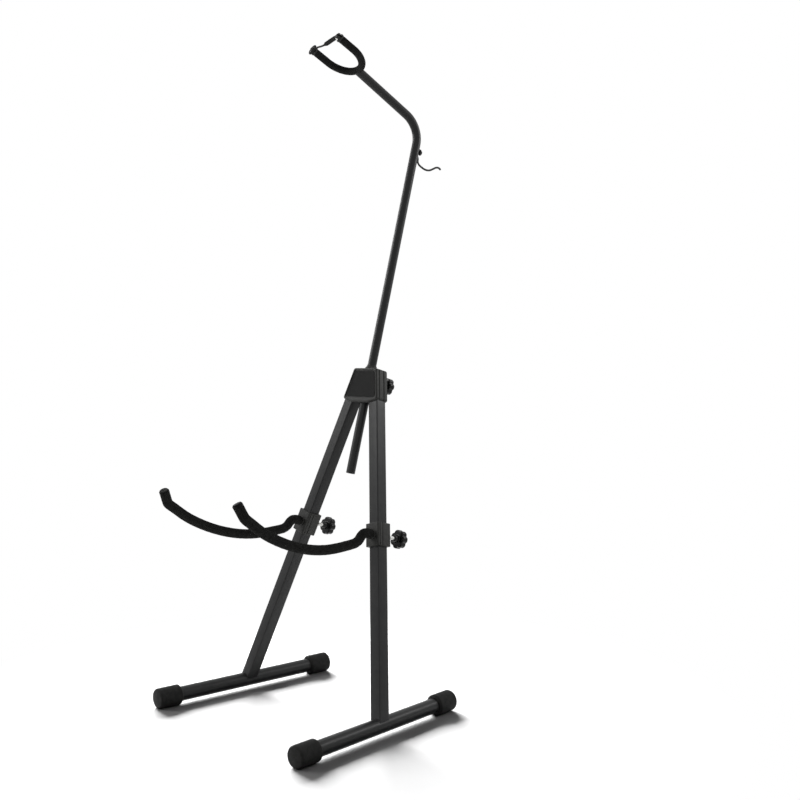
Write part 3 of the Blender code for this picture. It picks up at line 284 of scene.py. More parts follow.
def addPiece(name, mesh, place, node=None, angle=38, replaced=True):
    node = node or nodeOf(name)
    mesh.transform(place)
    mesh.name = name
    mesh.materials.clear()
    mesh.materials.append(finishOfSlot[slotOf[node]])
    mesh.shade_smooth()
    mesh.set_sharp_from_angle(angle=radians(angle))
    piece = addObject(name, mesh)
    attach(piece, bodyOf[node])
    if replaced:
        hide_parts(node)
    return piece


# Finishes: object coordinates are metres, so a scale of 1000 has features near a millimetre

def wire(tree, node, inputs):  # an input is a value, a colour or the output of another node
    for name, value in inputs.items():
        if isinstance(value, bpy.types.NodeSocket):
            tree.links.new(value, node.inputs[name])
        elif isinstance(value, tuple):
            node.inputs[name].default_value = (*value, 1.0)
        else:
            node.inputs[name].default_value = value


def addNode(tree, kind, inputs=None):
    node = tree.nodes.new(kind)
    wire(tree, node, inputs or {})
    return node


def finish(name, values):
    material = bpy.data.materials.new(name)
    material.use_nodes = True
    tree = material.node_tree
    place = addNode(tree, "ShaderNodeTexCoord").outputs["Object"]

    def noiseAt(scale, detail, low, high):
        inputs = {"Vector": place, "Scale": scale, "Detail": detail, "Roughness": 0.55}
        return mapped(addNode(tree, "ShaderNodeTexNoise", inputs).outputs["Fac"], low, high)

    def mapped(value, low, high, lowOut=0.0, highOut=1.0):
        inputs = {"Value": value, "From Min": low, "From Max": high, "To Min": lowOut,
                  "To Max": highOut}
        return addNode(tree, "ShaderNodeMapRange", inputs).outputs["Result"]

    def mixed(share, first, second):
        node = addNode(tree, "ShaderNodeMix")
        node.data_type = "RGBA"
        wire(tree, node, {"Factor": share, 6: first, 7: second})
        return node.outputs[2]

    def bumped(height, distance, strength):
        inputs = {"Height": height, "Distance": distance, "Strength": strength}
        return addNode(tree, "ShaderNodeBump", inputs)

    colour = mixed(noiseAt(values["broad"], 4.0, 0.32, 0.68), values["dark"], values["light"])
    if "fleck" in values:
        fleck, scale, share = values["fleck"]
        spots = noiseAt(scale, 1.0, 0.62, 0.72)
        colour = mixed(mapped(spots, 0.0, 1.0, 0.0, share), colour, fleck)
    # painted highlight: convex edges, found by pointiness, are mixed towards a lighter colour
    if "edge" in values:
        edge, share = values["edge"]
        geometry = addNode(tree, "ShaderNodeNewGeometry")
        paintedEdgeHighlight = mapped(geometry.outputs["Pointiness"], 0.53, 0.62, 0.0, share)
        colour = mixed(paintedEdgeHighlight, colour, edge)
    scale, depth, strength = values["fine"]
    fine = noiseAt(scale, 2.0, 0.35, 0.65)
    bump = bumped(fine, depth, strength)
    if "cells" in values:
        scale, depth, strength = values["cells"]
        cells = addNode(tree, "ShaderNodeTexVoronoi", {"Vector": place, "Scale": scale})
        coarse = bumped(mapped(cells.outputs["Distance"], 0.0, 0.7), depth, strength)
        wire(tree, coarse, {"Normal": bump.outputs["Normal"]})
        bump = coarse
    wire(tree, tree.nodes["Principled BSDF"], {
        "Base Color": colour, "Roughness": mapped(fine, 0.0, 1.0, *values["roughness"]),
        "Normal": bump.outputs["Normal"], "Metallic": values.get("metallic", 0.0),
        "IOR": values.get("ior", 1.5)})
    material.diffuse_color = (*values["light"], 1.0)
    return material


# fine and cells are (scale, depth, strength), fleck is (colour, scale, share), edge (colour, share) is a painted
# highlight on convex edges
finishes = {
    "powderCoat": {
        "dark": (0.0175, 0.018, 0.0187), "light": (0.025, 0.0252, 0.0252), "broad": 60,
        "fine": (1100, 0.0001, 0.35), "roughness": (0.3, 0.4), "ior": 1.3,
        # edge: painted highlight, a lighter colour on convex edges
        "fleck": ((0.06, 0.06, 0.058), 2600, 0.35), "edge": ((0.06, 0.06, 0.06), 0.35),
    },
    "moulding": {
        "dark": (0.032, 0.0322, 0.0305), "light": (0.046, 0.046, 0.0435), "broad": 90,
        "fine": (1500, 0.0001, 0.45), "roughness": (0.4, 0.54), "ior": 1.28,
        # edge: painted highlight, a lighter colour on convex edges
        "cells": (2200, 0.00008, 0.35), "edge": ((0.075, 0.075, 0.072), 0.4),
    },
    "panelSkin": {
        "dark": (0.0056, 0.0057, 0.0054), "light": (0.0084, 0.0084, 0.008), "broad": 90,
        "fine": (1900, 0.00006, 0.35), "roughness": (0.58, 0.72), "ior": 1.22,
        "cells": (2600, 0.00006, 0.3),
    },
    "knobPlastic": {
        "dark": (0.006, 0.006, 0.0062), "light": (0.01, 0.01, 0.0102), "broad": 120,
        "fine": (700, 0.00003, 0.15), "roughness": (0.12, 0.2), "ior": 1.27,
        # edge: painted highlight, a lighter colour on convex edges
        "edge": ((0.03, 0.03, 0.03), 0.3),
    },
    "foamSkin": {
        "dark": (0.02, 0.02, 0.0194), "light": (0.035, 0.035, 0.0338), "broad": 140,
        "fine": (1300, 0.0003, 0.8), "roughness": (0.88, 0.98), "ior": 1.1,
        "cells": (1700, 0.00025, 0.7), "fleck": ((0.06, 0.06, 0.058), 1900, 0.5),
    },
    "rubberSkin": {
        "dark": (0.017, 0.017, 0.0165), "light": (0.03, 0.03, 0.029), "broad": 110,
        "fine": (900, 0.0002, 0.6), "roughness": (0.62, 0.8), "ior": 1.22,
        "cells": (1000, 0.0002, 0.6), "fleck": ((0.05, 0.05, 0.048), 1400, 0.5),
    },
    "zincPlate": {
        "dark": (0.52, 0.52, 0.5), "light": (0.68, 0.68, 0.66), "broad": 240,
        "fine": (1800, 0.00004, 0.3), "roughness": (0.24, 0.4), "metallic": 1.0,
    },
}
skins = {name: finish(name, values) for name, values in finishes.items()}
finishOfSlot = {"powder_coat": skins["powderCoat"], "moulding": skins["moulding"],
                "knob_plastic": skins["knobPlastic"], "foam": skins["foamSkin"],
                "rubber": skins["rubberSkin"], "zinc": skins["zincPlate"]}
for nodeName, node in frame["nodes"].items():
    node.data.materials.clear()
    node.data.materials.append(finishOfSlot[slotOf[nodeName]])
print("finishes made:", len(skins))


# Frames of the stand, from the record's joints

fit = {"gap": 0.0003, "legHalfAngle": radians(15.4), "legLean": radians(14.2),
       "neckTilt": radians(1.1), "pivotHeight": 0.7, "pivotOffset": 0.0296,
       "armSplay": radians(2.6)}
gap = fit["gap"]
legAngle = fit["legHalfAngle"]
pivotAlongLeg = fit["pivotHeight"] / cos(legAngle)
barSplay = atan(tan(legAngle) * sin(fit["legLean"]))


def frameOf(origin, across, ahead):  # X across, Y ahead and Z square to both
    ahead = Vector(ahead).normalized()
    across = Vector(across)
    across = (across - ahead * across.dot(ahead)).normalized()
    turn = Matrix((across, ahead, across.cross(ahead))).transposed()
    return Matrix.Translation(origin) @ turn.to_4x4()


def jointAt(name):
    return Vector(joints[name]["pos_m"])


def turned(angle, axis):
    return Matrix.Rotation(angle, 4, axis)


def shifted(x, y, z):
    return Matrix.Translation((x, y, z))


def forward(rise):  # ahead of the neck tube at an angle above the horizontal, in its frame
    angle = rise - fit["legLean"] - fit["neckTilt"]
    return Vector((0, -cos(angle), sin(angle)))


sideways = Vector((1, 0, 0))
headAhead = Vector(joints["right_leg_fold"]["axis"])
headFrame = frameOf((jointAt("right_leg_fold") + jointAt("left_leg_fold")) / 2, sideways, headAhead)
neckUp = Vector(joints["neck_swivel"]["axis"])
neckFrame = frameOf(jointAt("neck_swivel"), sideways, neckUp.cross(sideways))
tubeAhead = Vector(joints["hook_swing"]["axis"])
tubeFrame = frameOf(jointAt("neck_swivel"), tubeAhead.cross(neckUp), tubeAhead)
hookFrame = frameOf(jointAt("hook_swing"), tubeAhead.cross(neckUp), tubeAhead)


# Floor, light and camera

studio = {
    "cameraFromHead": (1.72718, -1.584937, 0.036918), "cameraAzimuth": 45.683,
    "cameraDown": 1.721, "focalPixels": 1039.74, "framePixels": 800,
    "sensorWidth": 36, "farthest": 60,
    "floorSize": 14.0, "floorColour": 0.185, "floorBounce": 0.09, "fadeStart": 0.48,
    "fadeEnd": 0.9, "worldColour": 0.06,
    "lamps": {
        "overhead": {"place": (0.15, 0.25, 3.6), "aim": (0, 0, 0.4), "size": 1.6, "power": 12},
        "frontSoftbox": {"place": (-2.2, -2.0, 2.3), "aim": (0, 0, 0.9), "size": 1.2, "power": 39},
        "leftRim": {"place": (-2.6, 0.2, 1.7), "aim": (0, 0, 0.9), "size": 1.0, "power": 16},
        "rightRim": {"place": (1.35, 1.95, 1.8), "aim": (0, 0, 0.9), "size": 0.8, "power": 15},
    },
    "floorLamp": {"place": (-8.0, 4.0, 3.9), "aim": (0, 4.0, 0), "size": 7.0, "width": 4.2,
                  "power": 19800},
}


def clearedTree(holder):
    holder.use_nodes = True
    holder.node_tree.nodes.clear()
    return holder.node_tree


def mixShader(tree, share, first, second):
    return addNode(tree, "ShaderNodeMixShader", {"Fac": share, 1: first, 2: second}).outputs[0]


def seenRays(tree):  # rays that show the white background: seen, mirrored or through glass
    rays = addNode(tree, "ShaderNodeLightPath").outputs
    seen = rays["Is Camera Ray"]
    for ray in ("Is Glossy Ray", "Is Transmission Ray"):
        either = addNode(tree, "ShaderNodeMath", {0: seen, 1: rays[ray]})
        either.operation = "MAXIMUM"
        seen = either.outputs[0]
    return seen


def makeFloor():  # lit by its own lamp, and plain white away from the object
    half = studio["floorSize"] / 2
    corners = [(-half, -half, 0), (half, -half, 0), (half, half, 0), (-half, half, 0)]
    floor = addObject("floor", newMesh(corners, [(0, 1, 2, 3)]))
    material = bpy.data.materials.new("paleFloor")
    tree = clearedTree(material)
    seen, bounce = [addNode(tree, "ShaderNodeBsdfDiffuse", {"Color": (studio[key],) * 3}).outputs[0]
                    for key in ("floorColour", "floorBounce")]
    white = addNode(tree, "ShaderNodeEmission", {"Color": (1.0, 1.0, 1.0)}).outputs[0]
    place = addNode(tree, "ShaderNodeTexCoord").outputs["Object"]
    away = addNode(tree, "ShaderNodeVectorMath", {0: place})
    away.operation = "LENGTH"
    fade = addNode(tree, "ShaderNodeMapRange", {"From Min": studio["fadeStart"],
                                                "From Max": studio["fadeEnd"],
                                                "Value": away.outputs["Value"]})
    fade.interpolation_type = "SMOOTHSTEP"
    near = mixShader(tree, fade.outputs["Result"], seen, white)
    whole = mixShader(tree, seenRays(tree), bounce, near)
    addNode(tree, "ShaderNodeOutputMaterial", {"Surface": whole})
    floor.data.materials.append(material)
    return floor


def makeWorld():
    world = bpy.data.worlds.new("studio")
    bpy.context.scene.world = world
    tree = clearedTree(world)
    grey, white = [addNode(tree, "ShaderNodeBackground", {"Color": (level,) * 3}).outputs[0]
                   for level in (studio["worldColour"], 1.0)]
    mix = mixShader(tree, seenRays(tree), grey, white)
    addNode(tree, "ShaderNodeOutputWorld", {"Surface": mix})


def addLamp(name, values):
    lamp = bpy.data.lights.new(name, "AREA")
    lamp.size = values["size"]
    if "width" in values:
        lamp.shape = "RECTANGLE"
        lamp.size_y = values["width"]
    lamp.energy = values["power"]
    holder = addObject(name, lamp)
    holder.location = values["place"]
    facing = Vector(values["aim"]) - Vector(values["place"])
    holder.rotation_euler = facing.to_track_quat("-Z", "Y").to_euler()
    return holder


def makeLamps(floor):
    for name, values in studio["lamps"].items():
        addLamp(name, values)
    strip = addLamp("floorLamp", studio["floorLamp"])  # wide, for a soft shadow beside each bar
    strip.visible_camera = False
    only = bpy.data.collections.new("onlyTheFloor")
    only.objects.link(floor)
    strip.light_linking.receiver_collection = only


def makeCamera():
    azimuth = radians(studio["cameraAzimuth"])
    down = radians(studio["cameraDown"])
    facing = Vector((-sin(azimuth) * cos(down), cos(azimuth) * cos(down),
                     -sin(down)))
    camera = bpy.data.cameras.new("camera")
    camera.sensor_width = studio["sensorWidth"]
    camera.lens = studio["focalPixels"] / studio["framePixels"] * camera.sensor_width
    camera.clip_end = studio["farthest"]
    holder = addObject("camera", camera)
    holder.location = headFrame.translation + Vector(studio["cameraFromHead"])
    holder.rotation_mode = "QUATERNION"
    holder.rotation_quaternion = facing.to_track_quat("-Z", "Y")
    bpy.context.scene.camera = holder


makeWorld()
makeLamps(makeFloor())
makeCamera()
bpy.context.scene.view_settings.view_transform = "Standard"
print("studio made")


# Head casing

casing = {
    "legCover": 0.0407, "flat": 0.0534, "above": 0.036, "wall": 0.003, "depth": 0.036,
    "frontDepth": 0.0095, "backDepth": 0.0121, "corner": 0.0055, "sharpest": 0.002,
    "inner": 0.0138, "cavity": 0.0138, "hollowBelow": 0.056, "seam": 0.0018, "seamDraw": 0.6,
    "rimEdge": 0.0022, "rimFlat": 0.012, "panelMargin": 0.0048, "panelBelow": 0.032,
    "panelDepth": 0.0014, "panelCorner": 0.0052, "panelEdge": 0.0004, "panelFlare": 0.001,
    "gutter": 0.0015, "boltHeadAcross": 0.01, "boltHeadHeight": 0.004, "boltHeadSink": 0.0026,
    "boltCrown": 0.0012, "boltDiameter": 0.006, "nutHeight": 0.002, "wellLip": 0.0008,
    "wellEdge": 0.0004, "screwCrown": 0.55, "screwRim": 0.0008, "screwPoint": 0.0016,
    "screwEdge": 0.0005,
    "clampHeight": 0.01, "clampHole": 0.0086, "screwSpacing": 0.048, "screwHeight": 0.0236,
    "screwHead": 0.006, "screwHeadHeight": 0.0022, "screwShank": 0.0015, "screwTip": 0.0121,
    "slotHalf": 0.0017, "slotWidth": 0.0006, "slotDepth": 0.0011, "hubHole": 0.025,
    "hubHoleBase": 0.02,
}
casingHalf = casing["depth"] / 2
boltSeat = casingHalf - casing["boltHeadSink"]


def besideLeg(height, offset):  # where a line beside the open right leg is, at a height
    return fit["pivotOffset"] - height * tan(legAngle) + offset / cos(legAngle)


def casingOutline(inset):  # its lower edges lie square across the legs, around a level middle
    offset = casing["inner"] + casing["wall"] - inset
    cover = casing["legCover"] - inset
    out = fit["pivotOffset"] + cover * sin(legAngle) + offset * cos(legAngle)
    down = -cover * cos(legAngle) + offset * sin(legAngle)
    flat = casing["flat"] / 2
    low = down - (out - flat) * tan(legAngle)
    high = casing["above"] - inset
    side = [(flat, low), (out, down), (besideLeg(high, offset), high)]
    outline = side + [(-x, z) for x, z in reversed(side)]
    return roundedOutline(outline, max(casing["corner"] - inset, casing["sharpest"]))


def panelOutline(inset):
    offset = casing["inner"] + casing["wall"] - casing["panelMargin"] - inset
    low = -casing["panelBelow"] + inset
    high = casing["above"] - casing["panelMargin"] - inset
    right = [(besideLeg(low, offset), low), (besideLeg(high, offset), high)]
    return roundedOutline(right + [(-x, z) for x, z in reversed(right)], casing["panelCorner"])


def slices(outlineAt, profile):  # rings of an outline that an (inset, depth) profile gives
    return [[(x, level, z) for x, z in outlineAt(inset)] for inset, level in profile]


def casingShell(profile, rounding, hollowStart, hollowEnd, cutters):  # one slice of the casing
    low = -casing["hollowBelow"]
    high = casing["above"] - casing["wall"]
    wide = besideLeg(low, casing["inner"])
    narrow = besideLeg(high, casing["inner"])
    outline = [(-wide, low), (wide, low), (narrow, high), (-narrow, high)]
    hollow = loft([[(x, level, z) for x, z in outline] for level in (hollowStart, hollowEnd)])
    hub = rod(casing["hubHole"] / 2, casing["hubHoleBase"], beyond, 64, "Z")
    hub.transform(headFrame.inverted() @ neckFrame)
    shell = loft(slices(casingOutline, filleted(profile, rounding, 5)))
    return cut(shell, [hollow, hub, *cutters])


def makeCasing():
    half = casingHalf
    seam = casing["seam"]
    draw = seam * casing["seamDraw"]
    rim = casing["rimEdge"]
    frontSeam = casing["frontDepth"] - half - gap / 2
    bandStart = frontSeam + gap
    backSeam = half - casing["backDepth"] + gap / 2
    bandEnd = backSeam - gap

    gutter = casing["gutter"]
    edge = casing["panelEdge"]
    flare = casing["panelFlare"]
    floor = -half + casing["panelDepth"]
    ridge = floor + gutter * 0.7
    steps = filleted([(gutter * 1.6, floor), (gutter * 1.4, ridge), (gutter * 0.3, ridge),
                      (0, floor), (-flare / 10, -half + edge), (-flare, -half),
                      (-flare, -0.03)], edge)
    profile = [(casing["rimFlat"], -half), (rim, -half), (0, -half + rim),
               (0, frontSeam - draw), (seam, frontSeam)]
    front = casingShell(profile, rim, -casing["cavity"], beyond,
                        [loft(slices(panelOutline, steps))])
    piece = addPiece("casingFront", front, headFrame, "casing_front_shell")
    piece.data.materials.append(skins["panelSkin"])
    ahead = headFrame.to_3x3() @ Vector((0, -1, 0))
    level = headFrame @ Vector((0, floor, 0))
    for face in piece.data.polygons:
        if face.normal.dot(ahead) > 0.99 and abs((face.center - level).dot(ahead)) < 0.00003:
            face.material_index = 1

    for word, sign in bothSides:
        profile = [(seam, bandStart), (0, bandStart + draw), (0, bandEnd - draw), (seam, bandEnd)]
        other = boxMesh((min(0, -sign * 0.2), -0.1, -0.1), (max(0, -sign * 0.2), 0.1, 0.1))
        band = casingShell(profile, seam, -beyond, beyond, [other])
        addPiece(word + "CasingBand", band, headFrame)

    tools = [moved(rod(casing["clampHole"] / 2, 0, beyond), shifted(0, 0, casing["clampHeight"]))]
    lip = casing["wellLip"]
    for sign in (1, -1):
        wide = casing["boltHeadAcross"] / sqrt(3) + 2 * gap
        well = lathe(filleted([(0, boltSeat), (wide, boltSeat), (wide, half - 0.0005),
                               (wide + lip, half + 0.0003), (wide + lip, beyond),
                               (0, beyond)], casing["wellEdge"], 2), 48)
        tools.append(moved(well, shifted(sign * fit["pivotOffset"], 0, 0)))
        screwWell = rod(casing["screwHead"] / 2 + gap, half - casing["screwHeadHeight"], beyond)
        tools.append(moved(screwWell, shifted(sign * casing["screwSpacing"] / 2, 0,
                                              casing["screwHeight"])))
    profile = [(seam, backSeam), (0, backSeam + draw), (0, half - rim), (rim, half),
               (casing["rimFlat"], half)]
    back = casingShell(profile, rim, -beyond, casing["cavity"], tools)
    addPiece("casingBack", back, headFrame, "casing_back_shell")


def makeCasingFasteners():
    seat = boltSeat + gap
    base = casingHalf - casing["screwHeadHeight"] + gap
    top = base + casing["screwHeadHeight"]
    wide = casing["screwHead"] / 2
    narrow = casing["screwShank"]
    long = casing["slotHalf"]
    thin = casing["slotWidth"] / 2
    for word, sign in bothSides:
        shank = rod(casing["boltDiameter"] / 2, -casing["cavity"] - casing["nutHeight"],
                    seat + overlap)
        head = boltHead(casing["boltHeadAcross"], seat, seat + casing["boltHeadHeight"],
                        casing["boltCrown"])
        addPiece(word + "PivotBolt", cut(head, [shank], "UNION"),
                 headFrame @ shifted(sign * fit["pivotOffset"], 0, 0), angle=30)

        profile = filleted([(0, top), (wide * casing["screwCrown"], top),
                            (wide, base + casing["screwRim"]), (wide, base), (narrow, base),
                            (narrow, casing["screwPoint"] - casing["screwTip"]),
                            (0, -casing["screwTip"])], casing["screwEdge"], 3)
        arms = [boxMesh((-x, top - casing["slotDepth"], -z), (x, top + overlap, z))
                for x, z in ((long, thin), (thin, long))]
        place = headFrame @ shifted(sign * casing["screwSpacing"] / 2, 0, casing["screwHeight"])
        turn = turned(radians(20 + 40 * sign), "Y")
        addPiece(word + "CasingScrew", cut(lathe(profile, 40), arms), place @ turn, angle=30)


makeCasing()
makeCasingFasteners()
print("casing made")


# Clamp knobs and their screws

knob = {
    "diameter": 0.041, "thickness": 0.014, "lobes": 7, "lobeDepth": 0.0026, "edge": 0.0024,
    "hub": 0.017, "hubEnd": 0.0144, "hubLength": 0.012, "pressed": 0.008, "faceFlat": 0.015,
    "dish": 0.0125, "dishDepth": 0.0016, "boss": 0.0062, "bossHeight": 0.0009,
    "screw": 0.008, "pitch": 0.00125, "threadDepth": 0.00062, "shankRelief": 0.0003,
    "tipChamfer": 0.0012, "armStandoff": 0.026, "neckStandoff": 0.02, "boreEdge": 0.0004,
    "hubFlare": 0.002, "hubEdge": 0.0009, "dishSlope": 0.0008, "bossSlope": 0.0006,
    "faceEdge": 0.0005,
}


def lobedRadius(angle, inset):
    dip = (0.5 - 0.5 * cos(knob["lobes"] * angle)) ** 2.2
    return knob["diameter"] / 2 - knob["lobeDepth"] * dip - inset


def knobMesh(hub):
    sides = 168
    front = hub + knob["hubLength"]
    back = front + knob["thickness"]
    seat = hub + knob["pressed"] + gap
    bore = knob["screw"] / 2 + gap
    wide = knob["hub"] / 2
    edge = knob["edge"]
    dish = knob["dish"]
    floor = back - knob["dishDepth"]
    boss = floor + knob["bossHeight"]
    stem = [(0, seat), (bore, seat), (bore, hub + knob["boreEdge"]), (bore + knob["boreEdge"], hub)]
    stem += filleted([(bore + 0.0005, hub), (knob["hubEnd"] / 2, hub), (wide, front - 0.0002),
                      (wide + knob["hubFlare"], front)], knob["hubEdge"])
    rim = [(edge * (1 - sine), front + edge * (1 - cosine)) for sine, cosine in quarter(6)]
    rim += [(edge * (1 - cosine), back - edge * (1 - sine)) for sine, cosine in quarter(6)]
    slope = knob["bossSlope"]
    face = filleted([(knob["faceFlat"], back), (dish, back), (dish - knob["dishSlope"], floor),
                     (knob["boss"], floor), (knob["boss"] - slope, floor + slope),
                     (0.0008, boss), (0, boss)], knob["faceEdge"], 3)
    rings = [ringAt(level, [radius] * sides) for radius, level in stem]
    rings += [ringAt(level, [lobedRadius(angle, inset) for angle in around(sides)])
              for inset, level in rim]
    rings += [ringAt(level, [radius] * sides) for radius, level in face]
    return loft(rings)


def threadMesh(tip, end, threadStart, threadEnd):  # a screw whose middle stretch is threaded
    radius = knob["screw"] / 2
    sides = 28
    levels = [tip, tip + knob["tipChamfer"]]
    level = max(threadStart, tip + 0.0014)
    while level < threadEnd:
        levels.append(level)
        level += knob["pitch"] / 8
    levels.append(end)
    rings = []
    for level in levels:
        radii = [radius - knob["shankRelief"]] * sides
        if threadStart <= level <= threadEnd:
            phases = [(level / knob["pitch"] + step / sides) % 1.0 for step in range(sides)]
            radii = [radius - knob["threadDepth"] * (1 - abs(2 * phase - 1)) for phase in phases]
        if level == tip:
            radii = [radius - knob["tipChamfer"]] * sides
        rings.append(ringAt(level, radii))
    return loft(rings)


def makeClamp(prefix, place, face, tip, standoff, turn=0):
    hub = face + standoff
    addPiece(prefix + "Knob", knobMesh(hub), place @ turned(radians(turn), "Y"), angle=45)
    screw = threadMesh(tip, hub + knob["pressed"], face - overlap, hub + overlap)
    addPiece(prefix + "ClampScrew", screw, place, angle=60)


neck = {
    "diameter": 0.02, "wall": 0.0015, "below": 0.2025, "above": 0.627, "bendRadius": 0.06,
    "rise": radians(30.5), "upper": 0.203, "bendSteps": 30, "sides": 56, "offset": 0.0009,
    "collarBase": 0.0285, "collarTop": 0.0222, "collarHeight": 0.009, "collarHub": 0.0244,
    "collarHubDepth": 0.003, "collarLift": 0.0003, "collarWaist": 0.0055, "collarStep": 0.003,
    "collarFoot": 0.0018, "collarEdge": 0.0006, "hookHole": 0.0033,
}
tubeRadius = neck["diameter"] / 2
makeClamp("neck", frameOf(jointAt("neck_clamp_turn"), sideways, headAhead), casingHalf,
          neck["offset"] + tubeRadius + 2 * gap, knob["neckStandoff"])
print("neck clamp made")


# Neck collar and tube

def makeCollar():
    bore = tubeRadius + gap
    hub = neck["collarHub"] / 2
    wide = neck["collarBase"] / 2
    narrow = neck["collarTop"] / 2
    low = casing["above"] + gap
    top = low + neck["collarHeight"]
    lift = low + neck["collarLift"]
    end = low - neck["collarHubDepth"]
    profile = [(bore, top), (narrow, top), (narrow + 0.0006, low + neck["collarWaist"]),
               (wide - 0.0007, low + neck["collarStep"]), (wide, low + neck["collarFoot"]),
               (wide, lift), (hub, lift), (hub, end), (bore, end)]
    addPiece("neckCollar", lathe(filleted(profile, neck["collarEdge"]), 72, "Z"), neckFrame)


def neckLine():
    ahead = forward(neck["rise"])
    turn = Vector((0, 0, 1)).angle(ahead)
    start = neck["above"] - neck["bendRadius"] * tan(turn / 2)
    centre = Vector((0, -neck["bendRadius"], start))
    line = [Vector((0, 0, -neck["below"])), Vector((0, 0, 0)), Vector((0, 0, start - 0.03))]
    for step in range(neck["bendSteps"] + 1):
        angle = turn * step / neck["bendSteps"]
        line.append(centre + neck["bendRadius"] * Vector((0, cos(angle), sin(angle))))
    line.append(line[-1] + ahead * 0.02)
    return line + [yokeBase]


yoke = {
    "radius": 0.0515, "prong": 0.0365, "rise": radians(27.8), "rod": 0.008, "foam": 0.0168,
    "bendSteps": 40, "straightStep": 0.004, "cap": 0.019, "capLength": 0.0134,
    "capBase": 0.0042, "capNeck": 0.014, "capBore": 0.0018, "capDome": 0.005,
    "capStep": 0.0012, "capEdge": 0.0011,
    "strapAxis": 0.008, "strapThickness": 0.003, "tabWidth": 0.01, "tabLength": 0.052,
    "tabTaper": 0.009, "tabEnd": 0.0044, "cord": 0.004, "cordOverlap": 0.004, "ring": 0.0202,
    "sag": 0.005, "rivet": 0.003, "rivetHole": 0.0018, "rivetHead": 0.0056,
    "rivetHeadHeight": 0.0012,
}
yokeBase = Vector((0, 0, neck["above"])) + forward(neck["rise"]) * neck["upper"]
yokeFrame = tubeFrame @ frameOf(yokeBase, sideways, forward(yoke["rise"]))
foamEnd = yoke["radius"] + yoke["prong"]
strapLevel = foamEnd + yoke["strapAxis"]


def yokeLine(length):
    radius = yoke["radius"]
    line = [Vector((-radius, length, 0))]
    level = length - yoke["straightStep"]
    while level > radius:
        line.append(Vector((-radius, level, 0)))
        level -= yoke["straightStep"]
    mirrored = [Vector((-point.x, point.y, 0)) for point in line]
    for step in range(yoke["bendSteps"] + 1):
        angle = pi * step / yoke["bendSteps"]
        line.append(Vector((-radius * cos(angle), radius - radius * sin(angle), 0)))
    return line + mirrored[::-1]


def makeNeckTube():
    tube = sweepTube(neckLine(), tubeRadius, tubeRadius - neck["wall"], neck["sides"])
    cope = sweep(yokeLine(yoke["radius"] + 0.01), yoke["rod"] / 2 + gap, 24)
    cope.transform(tubeFrame.inverted() @ yokeFrame)
    hole = moved(rod(neck["hookHole"], 0, 0.02), tubeFrame.inverted() @ hookFrame)
    addPiece("neckTube", cut(tube, [cope, hole]), tubeFrame)


makeCollar()
makeNeckTube()
print("neck made")


# Foam sleeves

foam = {"wobble": 0.00022, "wobbleScale": 160.0, "pore": 0.00006, "poreScale": 900.0,
        "rounding": 0.0012, "step": 0.0018, "sides": 44, "sink": 0.6}


def foamMesh(line, radius, bore):  # a soft sleeve with an uneven skin
    fine = evenLine([Vector(point) for point in line], foam["step"])
    points, radii = softEnded(fine, radius, foam["rounding"], 4)
    outer = sweepRings(points, radii, foam["sides"])
    for ring, point in zip(outer, points):
        for place, spot in enumerate(ring):
            spoke = (spot - point).normalized()
            lift = foam["wobble"] * noise.noise(spot * foam["wobbleScale"])
            lift += foam["pore"] * noise.noise(spot * foam["poreScale"])
            ring[place] = spot + spoke * (lift - foam["wobble"] * foam["sink"])
    inner = sweepRings([points[0], *fine[2:-2], points[-1]], [bore] * (len(fine) - 2),
                       foam["sides"])
    return loft(outer + inner[::-1], True)


def makeYoke():
    bore = yoke["rod"] / 2 + gap
    sleeve = foamMesh(yokeLine(foamEnd), yoke["foam"] / 2, bore)
    socket = rod(tubeRadius + gap / 2, -0.03, gap, 48)
    ahead = tubeFrame @ frameOf(yokeBase, sideways, forward(neck["rise"]))
    sleeve = cut(sleeve, [moved(socket, yokeFrame.inverted() @ ahead)])
    piece = addPiece("yokeFoam", sleeve, yokeFrame, angle=60)
    wireEnd = foamEnd + yoke["capBore"]
    addPiece("yokeFork", sweep(yokeLine(wireEnd - gap), yoke["rod"] / 2, 28), yokeFrame)

    narrow = yoke["capNeck"] / 2
    wide = yoke["cap"] / 2
    base = foamEnd + yoke["capBase"]
    end = foamEnd + yoke["capLength"]
    start = foamEnd + gap
    for word, sign in bothSides:
        profile = [(narrow * sine, end - yoke["capDome"] * (1 - cosine))
                   for sine, cosine in quarter(10)]
        profile += filleted([(narrow, base + yoke["capStep"]), (narrow, base), (wide, base),
                             (wide, start), (bore, start), (bore, wireEnd), (0, wireEnd)],
                            yoke["capEdge"])
        cap = lathe(profile, 56)
        if sign > 0:
            half = yoke["strapThickness"] / 2 + gap
            floor = strapLevel - yoke["tabWidth"] / 2 - 2 * gap
            slot = boxMesh((-0.02, floor, -half), (0.02, end + 0.01, half))
            hole = rod(yoke["rivetHole"], -0.02, 0.02, 24, "Z")
            cap = cut(cap, [slot, moved(hole, shifted(0, strapLevel, 0))])
        addPiece(word + "YokeCap", cap, yokeFrame @ shifted(sign * yoke["radius"], 0, 0))


def strapSag(along):  # how far the strap hangs at a distance from its rivet
    level = yoke["cap"] / 2
    share = (along - level) / (2 * (yoke["radius"] - level))
    return yoke["sag"] * (0.5 - 0.5 * cos(tau * min(1, max(0, share))))


